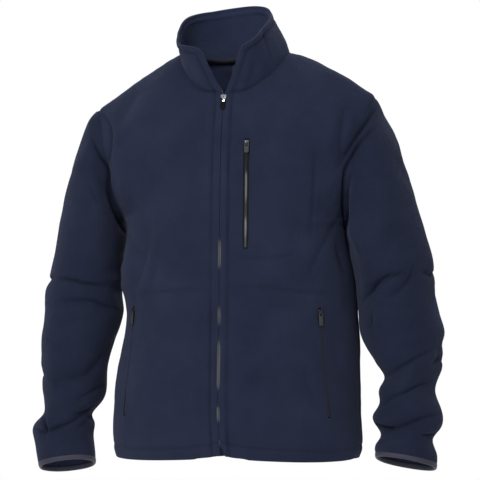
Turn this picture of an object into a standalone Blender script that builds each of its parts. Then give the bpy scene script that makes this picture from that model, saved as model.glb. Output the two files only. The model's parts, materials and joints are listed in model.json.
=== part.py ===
"""A fleece zip jacket in its worn shape, with nobody in it: cloth walls, zips, sliders and hinged pull tabs.

The jacket faces -Y, +X is its own left side and +Z is up. The origin is the middle of the neck, level with
the points where the shoulder seams meet the collar: that is where a wearer carries it. Heights are written
as a drop below that level. Sizes are in millimetres, and only to_object() turns them into metres.
"""

import math
from collections import namedtuple

import bmesh
import bpy
from mathutils import Matrix, Vector

MM = 0.001

# ---------------------------------------------------------------- driving sizes
CLOTH = 2.6  # one layer of fleece
DOUBLE = 4.6  # two layers, at a turned edge and in the collar
SEAM_GAP = 0.36  # between two sewn pieces, and between a piece and what it lies on
ZIP_SLOT = 6.0  # between the two front edges, where the teeth show
POCKET_SLOT = 7.0
TAPE = 1.0
TAPE_REACH = 11.0  # how far a zip's tape runs in under the cloth
BINDING = 1.1
BAG_CLOTH = 1.0
BAG_DEPTH = 3.0  # how far the middle of a pocket bag stands off the front

ARM_POINTS = 28  # points round an armhole and round a sleeve
UNDERARM = 2  # this many points each side of the armpit, body and sleeve meet in a narrow arch
FRONT_NECK_STEPS = 7
BACK_NECK_STEPS = 6
COLLAR_ROWS = 5

Line = namedtuple("Line", "drop x y")
CENTRE_FRONT = [
    Line(76, 0, -117), Line(120, 0, -131), Line(180, 0, -144), Line(270, 0, -151),
    Line(400, 0, -157), Line(520, 0, -161), Line(630, -1, -163), Line(700, 1, -157), Line(716, 2, -153),
]
CENTRE_BACK = [
    Line(12, 0, 58), Line(50, 0, 84), Line(100, 0, 110), Line(170, 0, 128), Line(260, 0, 131),
    Line(360, 0, 122), Line(460, 0, 116), Line(560, 0, 119), Line(660, 0, 128), Line(736, 0, 131),
]
LEFT_SIDE_SEAM = [
    Line(302, 208, 0), Line(314, 202, -1), Line(345, 208, -3), Line(390, 214, -5), Line(440, 219, -6),
    Line(520, 224, -8), Line(620, 226, -8), Line(690, 228, -7), Line(712, 227, -6), Line(724, 223, -5),
]
RIGHT_SIDE_SEAM = [
    Line(302, 208, 0), Line(314, 202, -1), Line(345, 205, -3), Line(390, 208, -5), Line(425, 206, -6),
    Line(455, 203, -6), Line(490, 203, -7), Line(530, 210, -8), Line(590, 220, -8), Line(640, 225, -8),
    Line(690, 227, -7), Line(712, 226, -6), Line(724, 222, -5),
]
# the drops of each panel's cross rows from the hem up to the armpit, at the centre and at the side seam
Row = namedtuple("Row", "centre side")
LOWER_ROWS = [
    Row(715, 724), Row(692, 702), Row(669, 675), Row(644, 646), Row(617, 618), Row(590, 590), Row(563, 563),
    Row(536, 536), Row(508, 508), Row(481, 481), Row(454, 454), Row(421, 421), Row(385, 387), Row(349, 350),
    Row(322, 314), Row(298, 302),
]
FRONT_CENTRE_DROPS = (268, 238, 208, 180, 152, 114, 76)  # above the armpit, up to the neck
BACK_CENTRE_DROPS = (264, 228, 192, 156, 120, 84, 48, 12)
HEM_DIP = 10.0  # the hem hangs this much lower half way to the side
BACK_LONGER = 14.0  # the back's hem hangs this much lower than the front's
ROW_SAMPLES = 80
CENTRE_FULL = 1.75  # how long a cross row keeps straight on from the centre, and from the side seam
SIDE_FULL = 1.7
SIDE_TURN = 0.06  # how much a row still runs outwards where it meets the side seam, and the armhole
ARMHOLE_TURN = 0.3
SHOULDER_START = 0.71  # above this share of the armhole's height, a row follows the shoulder

ArmPoint = namedtuple("ArmPoint", "x y drop")
# each starts at the end of the shoulder seam and runs down the front to the armpit, the fifth point
LEFT_ARMHOLE = [
    ArmPoint(252, -4, 81), ArmPoint(240, -48, 116), ArmPoint(227, -76, 180), ArmPoint(215, -62, 256),
    ArmPoint(208, 0, 302), ArmPoint(215, 66, 258), ArmPoint(228, 86, 184), ArmPoint(240, 50, 116),
]
RIGHT_ARMHOLE = [
    ArmPoint(255, -4, 103), ArmPoint(241, -48, 132), ArmPoint(228, -76, 186), ArmPoint(215, -62, 258),
    ArmPoint(208, 0, 302), ArmPoint(215, 66, 260), ArmPoint(229, 86, 190), ArmPoint(242, 50, 130),
]
SHOULDER_RISE = {1: 0.24, -1: 0.05}  # how strongly the shoulder seam bows up
NECK_POINT = Vector((100, -22, 0))
NECK_FRONT = Vector((ZIP_SLOT / 2, -117, -76))
NECK_BACK = Vector((0, 58, -12))

# each sleeve's rings: outer and inner point, the middle's y, half the depth, and how much the front is higher
Ring = namedtuple("Ring", "out_x out_drop in_x in_drop mid_y half_deep lift")
RIGHT_SLEEVE = [
    Ring(267, 115, 213, 310, -2, 82, 0),
    Ring(281, 146, 210, 328, -4, 85, 0),
    Ring(294, 185, 211, 347, -7, 84, 0),
    Ring(306, 230, 213, 367, -9, 81, 0),
    Ring(319, 280, 216, 390, -6, 79, 0),
    Ring(331, 330, 222, 415, -3, 77, 0),
    Ring(340, 378, 219, 440, -1, 77, 0),
    Ring(351, 412, 216, 462, 0, 75, 0),
    Ring(354, 446, 218, 482, -1, 77, 0),
    Ring(355, 480, 223, 502, -3, 74, 0),
    Ring(359, 512, 231, 524, -6, 71, 0),
    Ring(359, 545, 238, 550, -9, 68, 0),
    Ring(358, 578, 242, 577, -12, 64, 0),
    Ring(355, 608, 243, 604, -14, 60, 1),
    Ring(352, 636, 251, 630, -16, 54, 2),
    Ring(355, 656, 269, 651, -17, 48, 3),
    Ring(373, 674, 263, 668, -18, 56, 4),
    Ring(374, 695, 265, 687, -18, 52, 6),
    Ring(370, 716, 262, 706, -18, 50, 9),
    Ring(367, 739, 261, 726, -18, 47, 10),
    Ring(363, 753, 261, 739, -18, 45, 12),
]
LEFT_SLEEVE = [
    Ring(267, 115, 213, 310, -2, 82, 0),
    Ring(285, 146, 210, 328, -4, 85, 0),
    Ring(299, 185, 211, 347, -7, 84, 0),
    Ring(315, 232, 213, 367, -10, 81, 0),
    Ring(331, 284, 217, 390, -8, 79, 0),
    Ring(347, 334, 220, 415, -6, 77, 0),
    Ring(358, 384, 222, 440, -4, 76, 0),
    Ring(360, 430, 224, 466, -3, 73, 0),
    Ring(367, 470, 226, 490, -4, 73, 0),
    Ring(377, 500, 232, 513, -6, 75, 0),
    Ring(373, 522, 244, 536, -8, 69, 0),
    Ring(376, 552, 259, 558, -10, 68, 0),
    Ring(366, 584, 273, 581, -12, 59, 0),
    Ring(361, 607, 262, 602, -14, 56, 1),
    Ring(371, 632, 265, 626, -15, 58, 2),
    Ring(376, 655, 252, 646, -16, 60, 3),
    Ring(371, 673, 255, 664, -17, 55, 4),
    Ring(358, 691, 268, 684, -18, 47, 6),
    Ring(367, 712, 257, 704, -18, 53, 9),
    Ring(368, 730, 257, 716, -18, 49, 10),
    Ring(367, 742, 257, 726, -18, 47, 12),
]
SLEEVE_SQUARE = 0.84  # below 1, the inner half of a sleeve's ring is fuller than an ellipse

# the collar's top edge, from the corner on the jacket's right round the back to the corner on its left
CollarPoint = namedtuple("CollarPoint", "x y height")
COLLAR_TOP = [
    CollarPoint(-42, -122, 6), CollarPoint(-70, -116, 10), CollarPoint(-90, -96, 15),
    CollarPoint(-96, -64, 34), CollarPoint(-90, -32, 60), CollarPoint(-76, 0, 70),
    CollarPoint(-48, 24, 76), CollarPoint(-18, 33, 81), CollarPoint(20, 31, 85),
    CollarPoint(48, 19, 82), CollarPoint(64, -8, 70), CollarPoint(68, -44, 57),
    CollarPoint(63, -78, 41), CollarPoint(54, -108, 22), CollarPoint(34, -122, 12),
]
COLLAR_BELLY = 1.5  # how far the standing collar bows out half way up
COLLAR_AXIS_Y = -30.0

# the largest folds: a soft ridge, or a trough where the depth is negative, along a line on the cloth
Fold = namedtuple("Fold", "start end depth width")
FOLDS = [
    # jacket's right sleeve and side
    Fold((-268, -58, -150), (-226, -74, -212), -7, 20),
    Fold((-290, -60, -225), (-262, -82, -268), 5, 22),
    Fold((-330, -30, -412), (-250, -60, -420), -6, 18),
    Fold((-310, -50, -452), (-236, -55, -462), -4, 16),
    Fold((-325, -40, -600), (-262, -45, -566), -4, 18),
    Fold((-178, -92, -330), (-190, -70, -420), 5, 24),
    # jacket's left sleeve and side
    Fold((255, -40, -110), (196, -95, -196), -6, 22),
    Fold((300, -70, -230), (270, -82, -300), 5, 24),
    Fold((345, -50, -398), (262, -55, -440), -6, 20),
    Fold((372, -20, -534), (286, -50, -575), -5, 18),
    Fold((178, -92, -352), (198, -66, -400), 4, 22),
    Fold((120, -135, -430), (135, -128, -475), 4, 22),
    # similar ones behind
    Fold((-262, 62, -160), (-222, 88, -230), -6, 24),
    Fold((262, 62, -160), (222, 88, -230), -6, 24),
    Fold((330, 60, -420), (262, 72, -440), -5, 20),
    Fold((-330, 60, -430), (-258, 70, -446), -5, 20),
    Fold((-70, 118, -420), (70, 118, -440), -5, 34),
    Fold((-150, 96, -330), (-110, 112, -400), 5, 26),
    Fold((150, 96, -330), (100, 112, -410), 5, 26),
]

# ---------------------------------------------------------------- pockets and zips
CHEST_ZIP_AT = 40.0  # from the front edge to the near side of its slot
CHEST_ZIP_ROWS = (13, 20)  # the cross rows at its lower and upper end
HAND_ZIP_ROWS = (3, 10)
HAND_ZIP_TOP_X = 169.0
HAND_ZIP_BOTTOM_X = 186.0
PLACKET = 12.0  # the turned and topstitched front edge
CHEST_SLOT_COLUMN = 2
HAND_SLOT_COLUMN = 7
COLUMNS = 11  # points from the middle of the front or back to the side seam
EVEN_SHARES = [k / (COLUMNS - 1) for k in range(COLUMNS)]
SLOT_COLUMN_SHARE = 0.72  # where the hand pocket's column runs, of a row's length, well above the slot
ROWS_TO_EVEN = 6
SLOT_WIDENING = 4.5  # in each of the three rows past a slot's end, on each side
TOP_ROW = len(LOWER_ROWS) + ARM_POINTS // 2 - 1
CENTRE_FRONT_ROWS = len(LOWER_ROWS) + len(FRONT_CENTRE_DROPS)  # the rows that end on the front zip
CHEST_BAG_ROWS, CHEST_BAG_COLUMNS = (12, 21), (1, 6)
HAND_BAG_ROWS, HAND_BAG_COLUMNS = (1, 11), (1, 10)
POCKET_ZIPS = (
    ("chest", "front_left", CHEST_ZIP_ROWS, CHEST_SLOT_COLUMN),
    ("hand_left", "front_left", HAND_ZIP_ROWS, HAND_SLOT_COLUMN),
    ("hand_right", "front_right", HAND_ZIP_ROWS, HAND_SLOT_COLUMN),
)
TEETH_SUNK = 0.6  # the teeth lie this far below the outer surface of the cloth
MAIN_TAPE_CLEAR = 0.6
COLLAR_TAPE_REACH = 8.0
NECK_TAPE_REACH = 4.0
NECK_TAPE_SINK = 2.0
POCKET_TAPE_CLEAR = 1.0
POCKET_TAPE = 8.0  # half the width of a pocket zip's tape
POCKET_BEAD_CLEAR = 0.5
ZIP_END_ABOVE_HEM = 5.0
ZIP_END_BELOW_COLLAR = 3.0
BINDING_UP = 8.5
BINDING_CLEAR = 0.4

Slider = namedtuple("Slider", "wide tall pull_wide pull_long keel")
MAIN_SLIDER = Slider(11.0, 15.0, 8.0, 21.0, 4.6)
CHEST_SLIDER = Slider(9.0, 11.0, 8.0, 18.0, 5.0)
HAND_SLIDER = Slider(9.0, 11.0, 8.0, 24.0, 5.0)
MAIN_SLIDER_DROP = 84.6
SLIDER_BELOW_TOP = 3.0  # from the end of a pocket's slot to its slider's plate
PLATE = 1.6
PLATE_CORNER = 2.2
KEEL_SHORTER = 2.0  # at each end, than the plate it hangs from
JOIN = 0.3  # how far boxes that are joined run into each other
PLATE_LIFT = 0.5  # under the slider's plate, over the cloth
CROWN_WIDE = 2.4
CROWN_LONG = 8.0
CROWN_BAR = 1.2
CROWN_ROOM = 2.6  # the height inside the crown, where the pull's bar turns
CROWN_CORNER = 0.8
PULL_THICK = 1.6
PULL_CORNER = 2.4
PULL_WINDOW = (4.4, 5.4)

# ---------------------------------------------------------------- curves


def hermite(start, end, leave, arrive, f):
    """The point at f on the cubic from start to end with these end speeds."""
    g = 1 - f
    return (
        start * (g * g * (1 + 2 * f))
        + end * (f * f * (3 - 2 * f))
        + leave * (f * g * g)
        - arrive * (f * f * g)
    )


def at_drop(line, drop):
    """The point of a table of Lines at this drop."""
    last = len(line) - 2
    i = next((i for i in range(last) if drop <= line[i + 1].drop), last)
    points = [Vector((row.x, row.y, -row.drop)) for row in line]

    def slope(k):
        before, after = max(k - 1, 0), min(k + 1, len(line) - 1)
        return (points[after] - points[before]) / (line[after].drop - line[before].drop)

    span = line[i + 1].drop - line[i].drop
    share = (drop - line[i].drop) / span
    return hermite(points[i], points[i + 1], slope(i) * span, slope(i + 1) * span, share)


def through(points, f, closed=False):
    """The point at f, counted in steps from point to point, on a smooth curve through the points."""
    count = len(points)
    last = count if closed else count - 1
    i = min(int(f), last - 1)

    def point(k):
        return points[k % count] if closed else points[min(max(k, 0), count - 1)]

    leave = (point(i + 1) - point(i - 1)) / 2
    arrive = (point(i + 2) - point(i)) / 2
    return hermite(point(i), point(i + 1), leave, arrive, f - i)


def even(curve, count, samples=240):
    """count + 1 points at even distances on curve, a function of 0 to 1."""
    fine = [curve(k / samples) for k in range(samples + 1)]
    return spaced(fine, [k / count for k in range(count + 1)])


def lengths(points):
    """The distance along the points to each of them."""
    total = [0.0]
    for a, b in zip(points, points[1:]):
        total.append(total[-1] + (b - a).length)
    return total


def spaced(points, shares):
    """The points at these shares of the whole length."""
    total = lengths(points)
    found = []
    for share in shares:
        target = min(max(share, 0.0), 1.0) * total[-1]
        k = next((k for k in range(1, len(total) - 1) if total[k] >= target), len(total) - 1)
        span = total[k] - total[k - 1]
        found.append(points[k - 1].lerp(points[k], (target - total[k - 1]) / span))
    return found


def ease(f):
    f = min(max(f, 0.0), 1.0)
    return f * f * (3 - 2 * f)


def on_side(side, point):
    """The point on the jacket's left (1) or right (-1)."""
    return Vector((point.x * side, point.y, point.z))


# ---------------------------------------------------------------- the form of the body


def armhole(side):
    """The seam round the armhole: the shoulder first, then the front, the armpit and the back."""
    rows = LEFT_ARMHOLE if side > 0 else RIGHT_ARMHOLE
    points = [Vector((row.x * side, row.y, -row.drop)) for row in rows]
    return [through(points, k * len(points) / ARM_POINTS, closed=True) for k in range(ARM_POINTS)]


def neck_curve(side, end, steps):
    """The neck seam from the shoulder's neck point to the middle of the front or back."""

    def curve(f):
        c, s = math.cos(f * math.pi / 2), math.sin(f * math.pi / 2)
        x = end.x + (NECK_POINT.x - end.x) * c
        y = NECK_POINT.y + (end.y - NECK_POINT.y) * s
        return Vector((x, y, NECK_POINT.z + (end.z - NECK_POINT.z) * s ** 1.5))

    return [on_side(side, point) for point in even(curve, steps)]


def row_points(inner, outer, leave, arrive, shares_at):
    """A cross row from the centre or neck to the side or armhole, its points where shares_at puts them."""
    fine = [hermite(inner, outer, leave, arrive, k / ROW_SAMPLES) for k in range(ROW_SAMPLES + 1)]
    return spaced(fine, shares_at(fine))


def front_shares(row):
    """Where the front's columns cross a row. The slots for the zips lie between two near columns."""

    def shares_at(fine):
        total = lengths(fine)
        whole = total[-1]
        drop = -fine[ROW_SAMPLES // 2].z
        low, high = LOWER_ROWS[HAND_ZIP_ROWS[0]].side, LOWER_ROWS[HAND_ZIP_ROWS[1]].side
        f = (drop - high) / (low - high)
        wanted = HAND_ZIP_TOP_X + (HAND_ZIP_BOTTOM_X - HAND_ZIP_TOP_X) * min(max(f, 0.0), 1.0)
        crossing = next((k for k, point in enumerate(fine) if abs(point.x) >= wanted), ROW_SAMPLES * 3 // 4)
        away = max(HAND_ZIP_ROWS[0] - row, row - HAND_ZIP_ROWS[1], 0)
        at = total[crossing] / whole
        at += (SLOT_COLUMN_SHARE - at) * ease(max(row - HAND_ZIP_ROWS[1], 0) / ROWS_TO_EVEN)
        half_gap = (POCKET_SLOT / 2 + SLOT_WIDENING * min(away, 3)) / whole
        near = CHEST_ZIP_AT / whole
        far = (CHEST_ZIP_AT + POCKET_SLOT) / whole
        between = [far + (at - half_gap - far) * k / 4 for k in (1, 2, 3)]
        beyond = (at + half_gap + 1) / 2
        shares = [0, PLACKET / whole, near, far, *between, at - half_gap, at + half_gap, beyond, 1]
        to_shoulder = ease((row - CHEST_ZIP_ROWS[1]) / (TOP_ROW - CHEST_ZIP_ROWS[1]))
        return [share + (level - share) * to_shoulder for share, level in zip(shares, EVEN_SHARES)]

    return shares_at


def half_panel(side, front):
    """The grid of one half of the front or back, rows from the hem up and columns from the centre out."""
    facing = -1 if front else 1
    centre_line = CENTRE_FRONT if front else CENTRE_BACK
    centre_drops = FRONT_CENTRE_DROPS if front else BACK_CENTRE_DROPS
    edge_x = ZIP_SLOT / 2 if front else 0
    neck_end = NECK_FRONT if front else NECK_BACK
    steps = FRONT_NECK_STEPS if front else BACK_NECK_STEPS
    neck = list(reversed(neck_curve(side, neck_end, steps)))[1:]
    loop = armhole(side)
    half = ARM_POINTS // 2
    arm = [loop[(half + facing * k) % ARM_POINTS] for k in range(1, half + 1)]
    shoulder = (arm[-1] - neck[-1]).normalized()
    longer = 0 if front else BACK_LONGER
    rows = []
    for j in range(len(LOWER_ROWS) + half):
        lower = j < len(LOWER_ROWS)
        up = 0 if lower else (j - len(LOWER_ROWS) + 1) / half
        if lower:
            drop = LOWER_ROWS[j]
            share = (drop.centre - LOWER_ROWS[-1].centre) / (LOWER_ROWS[0].centre - LOWER_ROWS[-1].centre)
            centre = at_drop(centre_line, drop.centre + longer * share)
            outer = on_side(side, at_drop(LEFT_SIDE_SEAM if side > 0 else RIGHT_SIDE_SEAM, drop.side))
        else:
            k = j - len(LOWER_ROWS)
            centre = at_drop(centre_line, centre_drops[k]) if k < len(centre_drops) else None
            outer = arm[k]
        on_centre = len(LOWER_ROWS) + len(centre_drops)
        inner = centre + Vector((edge_x * side, 0, 0)) if centre else neck[j - on_centre]
        reach = outer - inner
        straight = Vector((side, 0, 0))
        on_neck = 0 if centre else (j - on_centre + 1) / steps
        bow = Vector((0, 0, SHOULDER_RISE[side] * ease(up)))
        leave = (straight.lerp(shoulder, ease(on_neck)).normalized() + bow * ease(on_neck)).normalized()
        turn = Vector((side * (SIDE_TURN if lower else ARMHOLE_TURN), -facing, 0)).normalized()
        arrive = (turn.lerp(shoulder, ease(up ** 0.75)).normalized() - bow * ease(up)).normalized()
        on_shoulder = ease(up / SHOULDER_START)
        leave_speed = CENTRE_FULL * abs(reach.x) * (1 - 0.4 * up)
        arrive_speed = SIDE_FULL * abs(reach.y) * (1 - on_shoulder) + reach.length * on_shoulder
        shares = front_shares(j) if front else (lambda fine: EVEN_SHARES)
        points = row_points(inner, outer, leave * leave_speed, arrive * arrive_speed, shares)
        if lower:
            fade = (1 - j / (len(LOWER_ROWS) - 1)) ** 2
            for k, point in enumerate(points):
                point.z -= HEM_DIP * fade * math.sin(math.pi * k / (len(points) - 1)) ** 0.8
        rows.append(points)
    return rows


def sleeve_rings(side):
    """The rings of one sleeve, from the armhole to the cuff."""
    rings = [armhole(side)]
    for row in LEFT_SLEEVE if side > 0 else RIGHT_SLEEVE:
        outer = Vector((row.out_x * side, 0, -row.out_drop))
        inner = Vector((row.in_x * side, 0, -row.in_drop))
        middle = (outer + inner) / 2 + Vector((0, row.mid_y, 0))
        ring = []
        for k in range(ARM_POINTS):
            angle = 2 * math.pi * k / ARM_POINTS
            c, s = math.cos(angle), math.sin(angle)
            power = SLEEVE_SQUARE if c < 0 else 1.0
            across = math.copysign(abs(c) ** power, c)
            deep = math.copysign(abs(s) ** power, s)
            rise = Vector((0, -row.half_deep * deep, row.lift * deep))
            ring.append(middle + (outer - inner) / 2 * across + rise)
        rings.append(ring)
    return rings


def collar_rows():
    """The collar's rows from the neck seam up, each from the right front edge round the back to the left."""
    base = []
    for side in (-1, 1):
        front = neck_curve(side, NECK_FRONT, FRONT_NECK_STEPS)
        back = neck_curve(side, NECK_BACK, BACK_NECK_STEPS)
        half = list(reversed(front)) + back[1:]
        base += half if side < 0 else list(reversed(half))[1:]
    controls = [Vector((row.x, row.y, row.height)) for row in COLLAR_TOP]
    fine = [through(controls, k * (len(controls) - 1) / 240) for k in range(241)]
    whole = lengths(base)
    top = spaced(fine, [length / whole[-1] for length in whole])
    rows = []
    for j in range(COLLAR_ROWS + 1):
        f = j / COLLAR_ROWS
        row = []
        for low, high in zip(base, top):
            point = low.lerp(high, f)
            out = Vector((point.x, point.y - COLLAR_AXIS_Y, 0)).normalized()
            row.append(point + out * COLLAR_BELLY * math.sin(math.pi * f))
        rows.append(row)
    return rows


def folded(point, out):
    """The point moved along out by the folds that pass near it."""
    height = 0.0
    for fold in FOLDS:
        start, end = Vector(fold.start), Vector(fold.end)
        line = end - start
        f = min(max((point - start).dot(line) / line.length_squared, 0.0), 1.0)
        near = (point - start - line * f).length / fold.width
        height += fold.depth * math.exp(-near * near)
    return point + out * height


# ---------------------------------------------------------------- the whole form

Sheet = namedtuple("Sheet", "grid closed outward")  # outward is 1 or -1, the turn of its faces


def quads(sheet):
    """(row, column, four points) of every face of a sheet."""
    columns = len(sheet.grid[0])
    for j in range(len(sheet.grid) - 1):
        for k in range(columns if sheet.closed else columns - 1):
            row, above, n = sheet.grid[j], sheet.grid[j + 1], (k + 1) % columns
            yield j, k, (row[k], row[n], above[n], above[k])


def key(point):
    return tuple(round(value, 2) for value in point)


def shared_normals(sheets):
    """The normal at each point of the whole form, so that two pieces turn together at their seam."""
    totals = {}
    for sheet in sheets.values():
        for _, _, (a, b, c, d) in quads(sheet):
            normal = (c - a).cross(d - b).normalized() * sheet.outward
            for point in (a, b, c, d):
                totals[key(point)] = totals.get(key(point), Vector()) + normal
    normals = {where: total.normalized() for where, total in totals.items()}
    for sheet in (sheets["sleeve_left"], sheets["sleeve_right"]):
        for k in range(-UNDERARM, UNDERARM + 1):
            where = key(sheet.grid[0][ARM_POINTS // 2 + k])
            straight_down = Vector((0, 0, -1)) * (3 if abs(k) < UNDERARM else 1)
            normals[where] = (normals[where] + straight_down).normalized()
    for front in (sheets["front_left"], sheets["front_right"]):
        for row in front.grid[:CENTRE_FRONT_ROWS]:
            facing = normals[key(row[0])]
            normals[key(row[0])] = Vector((0, facing.y, facing.z)).normalized()
    return normals


def whole_form():
    """Every cloth surface with its folds, and the normals that they share."""
    sheets = {
        "collar": Sheet(collar_rows(), False, -1),
        "sleeve_left": Sheet(sleeve_rings(1), True, 1),
        "sleeve_right": Sheet(sleeve_rings(-1), True, -1),
    }
    for side, name in ((1, "left"), (-1, "right")):
        sheets["front_" + name] = Sheet(half_panel(side, front=True), False, side)
        sheets["back_" + name] = Sheet(half_panel(side, front=False), False, -side)
    normals = shared_normals(sheets)
    for name, sheet in sheets.items():
        grid = [[folded(point, normals[key(point)]) for point in row] for row in sheet.grid]
        sheets[name] = sheet._replace(grid=grid)
    return sheets, shared_normals(sheets)


# ---------------------------------------------------------------- walls


def to_object(name, bm, material, collection):
    """Writes the mesh in metres as an object of the jacket."""
    bmesh.ops.recalc_face_normals(bm, faces=bm.faces)
    bmesh.ops.scale(bm, vec=(MM, MM, MM), verts=bm.verts)
    mesh = bpy.data.meshes.new(name)
    bm.to_mesh(mesh)
    bm.free()
    mesh.shade_smooth()
    mesh.set_sharp_from_angle(angle=math.radians(40))
    mesh.materials.append(material)
    made = bpy.data.objects.new(name, mesh)
    collection.objects.link(made)
    return made


def draw_in_borders(bm, distance):
    """Moves each border point into its surface, square to the border, so that seams have their gap."""
    sides = {}
    for edge in bm.edges:
        if not edge.is_boundary:
            continue
        a, b = (vert.co for vert in edge.verts)
        along = (b - a).normalized()
        inward = edge.link_faces[0].calc_center_median() - a
        inward = (inward - along * inward.dot(along)).normalized()
        for vert in edge.verts:
            sides.setdefault(vert, []).append(inward)
    for vert, (first, second) in sides.items():
        vert.co += (first + second) * distance / max(1 + first.dot(second), 0.3)


def cloth(name, sheets, inward, material, collection, holes=()):
    """One sewn piece: a surface with a wall's thickness inside it.

    inward(sheet, row, column) is the way from the outer surface to the inner one. A hole is
    (sheet, first row, last row, column), one column of faces left out for a zip.
    """
    bm = bmesh.new()
    layer = bm.verts.layers.float_vector.new("inward")
    verts = {}
    for number, sheet in enumerate(sheets):
        for j, k, corners in quads(sheet):
            if any(n == number and first <= j < last and k == column for n, first, last, column in holes):
                continue
            face = []
            places = ((j, k), (j, k + 1), (j + 1, k + 1), (j + 1, k))
            for point, (row, column) in zip(corners, places):
                if key(point) not in verts:
                    verts[key(point)] = bm.verts.new(point)
                    verts[key(point)][layer] = inward(sheet, row, column % len(sheet.grid[0]))
                face.append(verts[key(point)])
            bm.faces.new(face if sheet.outward > 0 else reversed(face))
    draw_in_borders(bm, SEAM_GAP / 2)
    grown = bmesh.ops.extrude_face_region(bm, geom=bm.faces[:], use_keep_orig=True)
    for vert in (item for item in grown["geom"] if isinstance(item, bmesh.types.BMVert)):
        vert.co += vert[layer]
    return to_object(name, bm, material, collection)


def loft(name, rings, closed, material, collection):
    """A solid through rings of points: round a loop if closed, or else with a cap at each end."""
    bm = bmesh.new()
    rows = [[bm.verts.new(point) for point in ring] for ring in rings]
    for low, high in zip(rows, rows[1:] + rows[:1] if closed else rows[1:]):
        for k in range(len(low)):
            n = (k + 1) % len(low)
            bm.faces.new((low[k], low[n], high[n], high[k]))
    if not closed:
        bm.faces.new(rows[0])
        bm.faces.new(rows[-1])
    return to_object(name, bm, material, collection)


# ---------------------------------------------------------------- cloth pieces


def front_thickness(row, column):
    """Two layers at the turned front edge and hem, one elsewhere."""
    return DOUBLE if column <= 1 or row <= 1 else CLOTH


def make_fronts(sheets, normals, fleece, collection):
    for side, name in ((1, "left"), (-1, "right")):
        sheet = sheets["front_" + name]
        holes = [(0, *HAND_ZIP_ROWS, HAND_SLOT_COLUMN)]
        if side > 0:
            holes.append((0, *CHEST_ZIP_ROWS, CHEST_SLOT_COLUMN))

        def inward(sheet, row, column):
            return -normals[key(sheet.grid[row][column])] * front_thickness(row, column)

        cloth("front_" + name, [sheet], inward, fleece, collection, holes)


def make_back(sheets, normals, fleece, collection):
    def inward(sheet, row, column):
        return -normals[key(sheet.grid[row][column])] * (DOUBLE if row <= 1 else CLOTH)

    cloth("back", [sheets["back_left"], sheets["back_right"]], inward, fleece, collection)


def make_plain_pieces(sheets, normals, fleece, collection):
    for name, thickness in (("sleeve_left", CLOTH), ("sleeve_right", CLOTH), ("collar", DOUBLE)):

        def inward(sheet, row, column, thickness=thickness):
            return -normals[key(sheet.grid[row][column])] * thickness

        cloth(name, [sheets[name]], inward, fleece, collection)


def part_of_sheet(sheet, normals, rows, columns, depth_at):
    """A smaller sheet inside another one, depth_at(row, column, at its edge) in from its outer surface."""
    grid, inward = [], {}
    for row in range(rows[0], rows[1] + 1):
        line = []
        for column in range(columns[0], columns[1] + 1):
            at_edge = row in rows or column in columns
            point = sheet.grid[row][column]
            normal = normals[key(point)]
            line.append(point - normal * depth_at(row, column, at_edge))
            inward[key(line[-1])] = -normal * BAG_CLOTH
        grid.append(line)
    return Sheet(grid, False, sheet.outward), inward


def looked_up(inward):
    """The way inward at a sheet's row and column, looked up by the place of its point."""
    return lambda sheet, row, column: inward[key(sheet.grid[row][column])]


def make_pocket_bags(sheets, normals, lining, collection):
    """The bag behind each zip: its edges are stitched to the front, and its middle stands off it."""

    def depth_at(row, column, at_edge):
        return front_thickness(row, column) + (SEAM_GAP * 1.5 if at_edge else BAG_DEPTH)

    bags = (
        ("pocket_bag_chest", "front_left", CHEST_BAG_ROWS, CHEST_BAG_COLUMNS),
        ("pocket_bag_left", "front_left", HAND_BAG_ROWS, HAND_BAG_COLUMNS),
        ("pocket_bag_right", "front_right", HAND_BAG_ROWS, HAND_BAG_COLUMNS),
    )
    for name, front, rows, columns in bags:
        bag, inward = part_of_sheet(sheets[front], normals, rows, columns, depth_at)
        cloth(name, [bag], looked_up(inward), lining, collection)


def make_neck_patch(sheets, normals, lining, collection):
    """The blank patch sewn below the neck seam, inside the back."""
    top = len(LOWER_ROWS) + len(BACK_CENTRE_DROPS) - 1
    grid = []
    inward = {}
    for row in (top - 1, top):
        left, right = sheets["back_left"].grid[row], sheets["back_right"].grid[row]
        line = []
        for point in (right[1], left[0], left[1]):
            normal = normals[key(point)]
            line.append(point - normal * (CLOTH + SEAM_GAP))
            inward[key(line[-1])] = -normal * BAG_CLOTH
        grid.append(line)
    patch = Sheet(grid, False, -1)
    cloth("neck_patch", [patch], looked_up(inward), lining, collection)


def make_bindings(sheets, normals, satin, collection):
    """The narrow bound edge of each cuff, folded over the sleeve's end."""
    clear = BINDING_CLEAR
    outer, inner = clear, -CLOTH - clear
    profile = (
        (BINDING_UP, outer), (BINDING_UP, outer + BINDING), (-clear - BINDING, outer + BINDING),
        (-clear - BINDING, inner - BINDING), (BINDING_UP, inner - BINDING), (BINDING_UP, inner),
        (-clear, inner), (-clear, outer),
    )
    for name in ("left", "right"):
        above, last = sheets["sleeve_" + name].grid[-2:]
        rings = []
        for high, low in zip(above, last):
            up = (high - low).normalized()
            out = normals[key(low)]
            rings.append([low + up * a + out * b for a, b in profile])
        loft("cuff_binding_" + name, rings, True, satin, collection)


# ---------------------------------------------------------------- zips


def edge_frames(rows, edge, beyond, normals):
    """At each row: a point of the edge, the way across into the piece, and the way out of the cloth."""
    return [(row[edge], (row[beyond] - row[edge]).normalized(), normals[key(row[edge])]) for row in rows]


def zip_tape_at(rows_above_neck):
    """(reach, depth) of the front zip's tape: near the neck seam it is narrower and lies further in."""
    near = max(0.0, 1 - abs(rows_above_neck) / 2)
    reach = TAPE_REACH if rows_above_neck < 0 else COLLAR_TAPE_REACH
    return reach + (NECK_TAPE_REACH - reach) * near, -DOUBLE - MAIN_TAPE_CLEAR - NECK_TAPE_SINK * near


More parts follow.
